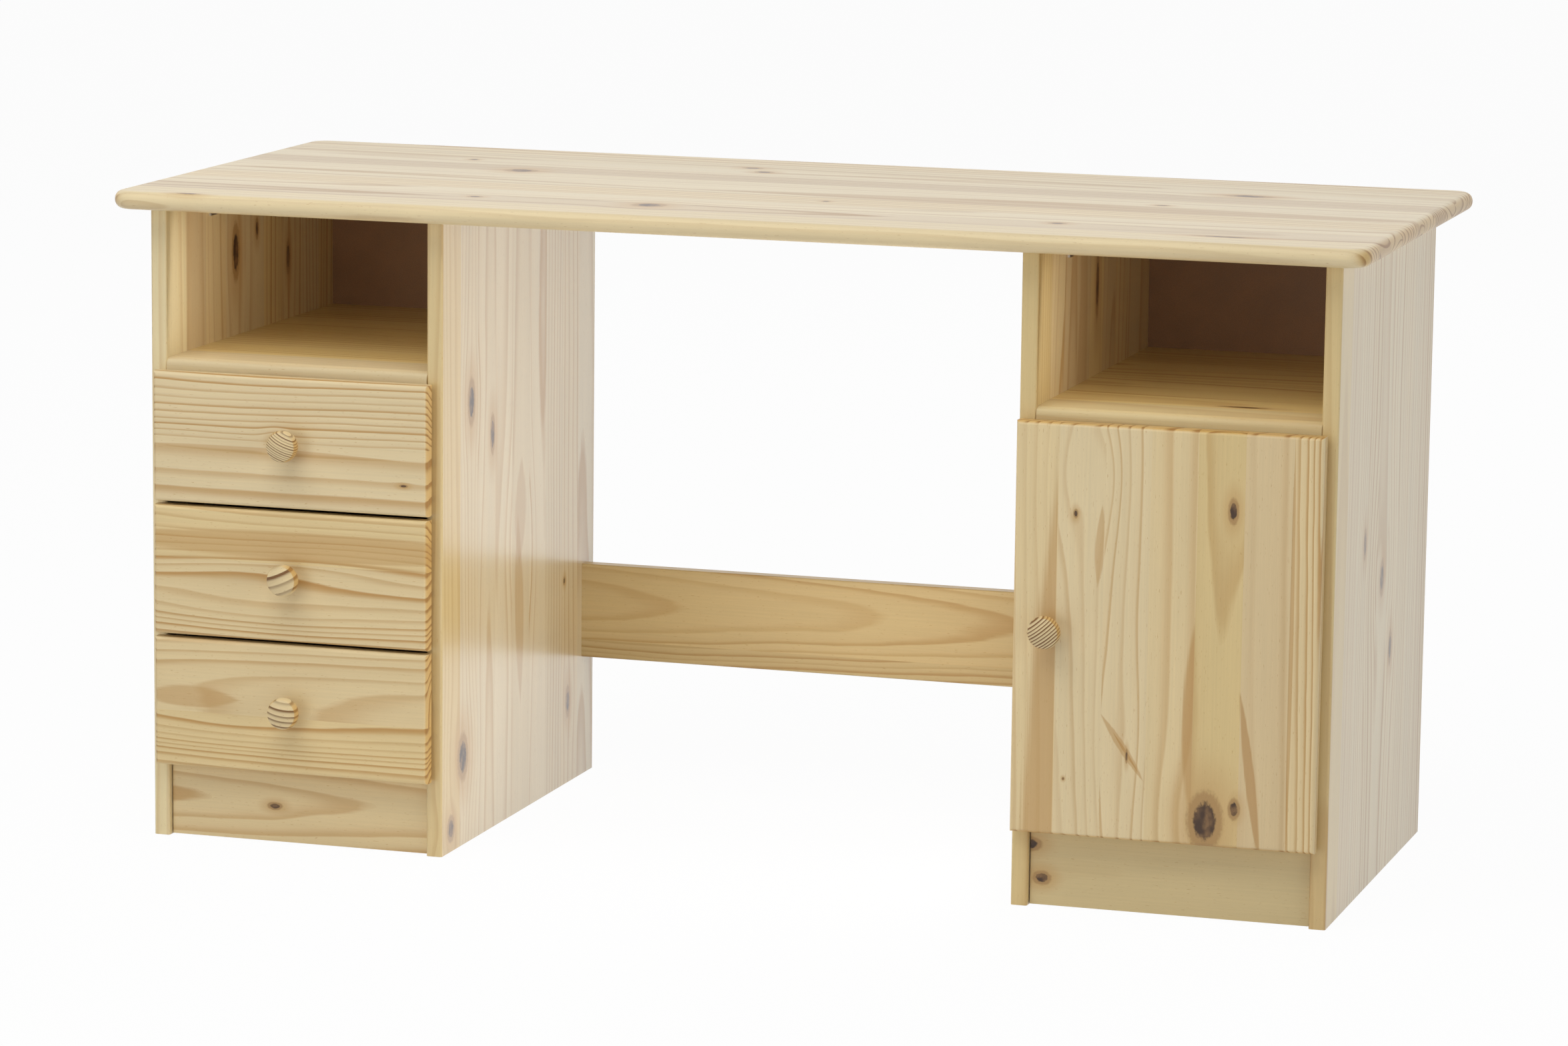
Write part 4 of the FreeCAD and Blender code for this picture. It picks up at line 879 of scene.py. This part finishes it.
def polar_disc(radii, turns, heights):
    """Points on rings round an upright axis, with a pole in the middle: (r cos a, r sin a, height)."""
    rings = np.stack([radii * np.cos(turns), radii * np.sin(turns), heights], axis=-1)
    pole = np.array([[0.0, 0.0, heights[0].min()]])
    count, around = radii.shape
    step = np.arange(around)
    ahead = (step + 1) % around
    base = 1 + np.arange(count - 1)[:, None] * around
    quads = np.stack([base + step, base + around + step, base + around + ahead, base + ahead], axis=-1)
    fan = np.stack([np.zeros(around, int), 1 + step, 1 + ahead], axis=-1)
    faces = quads.reshape(-1, 4).tolist() + fan.tolist()
    return np.concatenate([pole, rings.reshape(-1, 3)]), faces


def cross_head(radius, rise):
    """A screw's head with a cross recess: a low dome, rise * (1 - 0.5 share^4), less the cross.

    A share is a ring's part of the radius, and the last ring is the rim's foot. Five spokes to each
    quarter turn stand at -1, -0.7, 0.7, 1 times the angle of an arm's edge, asin(half width of an
    arm / share), and half-way to the next arm.
    """
    share = np.array(SCREW_SHARES)[:, None]
    edge = np.arcsin(ARM_HALF_WIDTH / share)
    halfway = np.full_like(share, math.pi / 4)
    spokes = np.concatenate([edge * [-1.0, -0.7, 0.7, 1.0], halfway], axis=1)
    turns = np.concatenate([spokes + quarter * math.pi / 2 for quarter in range(4)], axis=1)
    in_arm = np.tile([False, True, True, False, False], 4) & (share < ARM_REACH)
    heights = rise * (1.0 - 0.5 * share**4) - np.where(in_arm, 0.9 * rise, 0.0)
    heights[0] = 0.1 * rise
    heights[-1] = 0.0
    return polar_disc(np.broadcast_to(share * radius, turns.shape), turns, heights)


def pin_head(radius, rise):
    """A panel pin's domed head: height = rise * (1 - share^2) on three rings of eight."""
    share = np.array(PIN_SHARES)[:, None]
    turns = np.broadcast_to(np.arange(PIN_SPOKES) * 2 * math.pi / PIN_SPOKES, (len(share), PIN_SPOKES))
    heights = np.broadcast_to(rise * (1.0 - share**2), turns.shape)
    return polar_disc(np.broadcast_to(share * radius, turns.shape), turns, heights)


def heads(name, head, places, normal, body, material):
    """One piece of many equal heads: the head's own axis is turned to the normal at each place."""
    points, faces = head
    turn = np.array(Vector((0.0, 0.0, 1.0)).rotation_difference(Vector(normal)).to_matrix())
    placed = points @ turn.T + np.array(places)[:, None, :]
    firsts = [number * len(points) for number in range(len(places))]
    every = [[corner + first for corner in face] for first in firsts for face in faces]
    mesh = bpy.data.meshes.new(name)
    mesh.from_pydata(placed.reshape(-1, 3).tolist(), [], every)
    mesh.materials.append(material)
    mesh.update()
    piece = bpy.data.objects.new(name, mesh)
    scene.collection.objects.link(piece)
    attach(piece, body)
    return piece


PIN = pin_head(0.0016, 0.0006)
print("a pin's head has", len(PIN[1]), "faces")

# %% Put in the runners' screws and the pins
RUNNER_SCREW = cross_head(0.0034, 0.00022)
RUNNER_SCREW_INSET = 0.04
BACK_PIN_ROWS = (0.093, 0.526)
BACK_PIN_INSET = 0.03
BOTTOM_PIN_INSET = 0.02
BOTTOM_PIN_FROM_END = 0.006
made = []
for drawer in DRAWERS:
    for side, normal in (("left", (1, 0, 0)), ("right", (-1, 0, 0))):
        low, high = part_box(f"{drawer}_{side}_runner")
        face = high.x if side == "left" else low.x
        lie = np.linspace(low.y + RUNNER_SCREW_INSET, high.y - RUNNER_SCREW_INSET, 3)
        spots = [(face, y, (low.z + high.z) / 2) for y in lie]
        name = f"{drawer}_{side}_runner_screws"
        made.append(heads(name, RUNNER_SCREW, spots, normal, "carcass", zinc))

for side in ("left", "right"):
    low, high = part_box(f"{side}_back")
    lie = np.linspace(low.x + BACK_PIN_INSET, high.x - BACK_PIN_INSET, 5)
    spots = [(x, high.y, z) for z in BACK_PIN_ROWS for x in lie]
    made.append(heads(f"{side}_back_pins", PIN, spots, (0, 1, 0), "carcass", zinc))

for drawer in DRAWERS:
    low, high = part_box(f"{drawer}_drawer_bottom")
    lie = np.linspace(low.x + BOTTOM_PIN_INSET, high.x - BOTTOM_PIN_INSET, 4)
    spots = [(x, high.y - BOTTOM_PIN_FROM_END, low.z) for x in lie]
    name = f"{drawer}_drawer_bottom_pins"
    made.append(heads(name, PIN, spots, (0, 0, -1), f"{drawer}_drawer", zinc))
print("made", len(made), "groups of runner screws and pins")

# %% Put in the fittings' screws
HINGE_HEIGHTS = (0.179, 0.4275)
PLATE_SCREW_LIFT = 0.016
CUP_SCREW_LIFT = 0.0225

# Each hinge: two screws in the wings of its plate, two in the flange of its cup, two to set its arm
plate_spots, cup_spots, arm_spots = [], [], []
for height in HINGE_HEIGHTS:
    plate_spots += [(0.6415, -0.218, height + lift) for lift in (-PLATE_SCREW_LIFT, PLATE_SCREW_LIFT)]
    cup_spots += [(0.622, -0.256, height + lift) for lift in (-CUP_SCREW_LIFT, CUP_SCREW_LIFT)]
    arm_spots += [(0.6293, y, height) for y in (-0.228, -0.206)]

# The catch is screwed up into the shelf, its strike plate to the door beside the magnet
catch_spots = [(x, -0.2465, 0.504) for x in (0.3785, 0.4155)]
strike_spots = [(x, -0.256, 0.5105) for x in (0.3815, 0.4125)]

# Each angle under the top has one screw into the panel and one up into the top
BRACKET_Y = (-0.125, 0.145)
BRACKET_SCREW_Z = 0.689
BRACKET_STEEL = 0.002
on_right = [(x + BRACKET_STEEL, y, BRACKET_SCREW_Z) for x in (-0.644, 0.340) for y in BRACKET_Y]
on_left = [(x - BRACKET_STEEL, y, BRACKET_SCREW_Z) for x in (-0.340, 0.644) for y in BRACKET_Y]
on_foot = [(x, y, 0.698) for x in (-0.633, -0.351, 0.351, 0.633) for y in BRACKET_Y]

# Each row: a name, a head's radius and rise in m, its places, the way it faces, its body and slot
FITTINGS = [
    ("hinge_plate_screws", 0.0036, 0.0012, plate_spots, (-1, 0, 0), "carcass", "nickel_steel"),
    ("hinge_arm_screws", 0.0034, 0.0008, arm_spots, (-1, 0, 0), "carcass", "nickel_steel"),
    ("hinge_cup_screws", 0.0034, 0.0010, cup_spots, (0, 1, 0), "door", "nickel_steel"),
    ("catch_screws", 0.0028, 0.0008, catch_spots, (0, 0, -1), "carcass", "zinc_steel"),
    ("strike_screws", 0.0020, 0.0006, strike_spots, (0, 1, 0), "door", "zinc_steel"),
    ("bracket_screws_right", 0.0034, 0.0011, on_right, (1, 0, 0), "carcass", "zinc_steel"),
    ("bracket_screws_left", 0.0034, 0.0011, on_left, (-1, 0, 0), "carcass", "zinc_steel"),
    ("bracket_screws_down", 0.0034, 0.0011, on_foot, (0, 0, -1), "carcass", "zinc_steel"),
]
for name, radius, rise, spots, normal, body, slot in FITTINGS:
    head = cross_head(radius, rise)
    made.append(heads(name, head, spots, normal, body, FINISHES[slot]))
print("made", len(made), "groups of screws and pins in all")
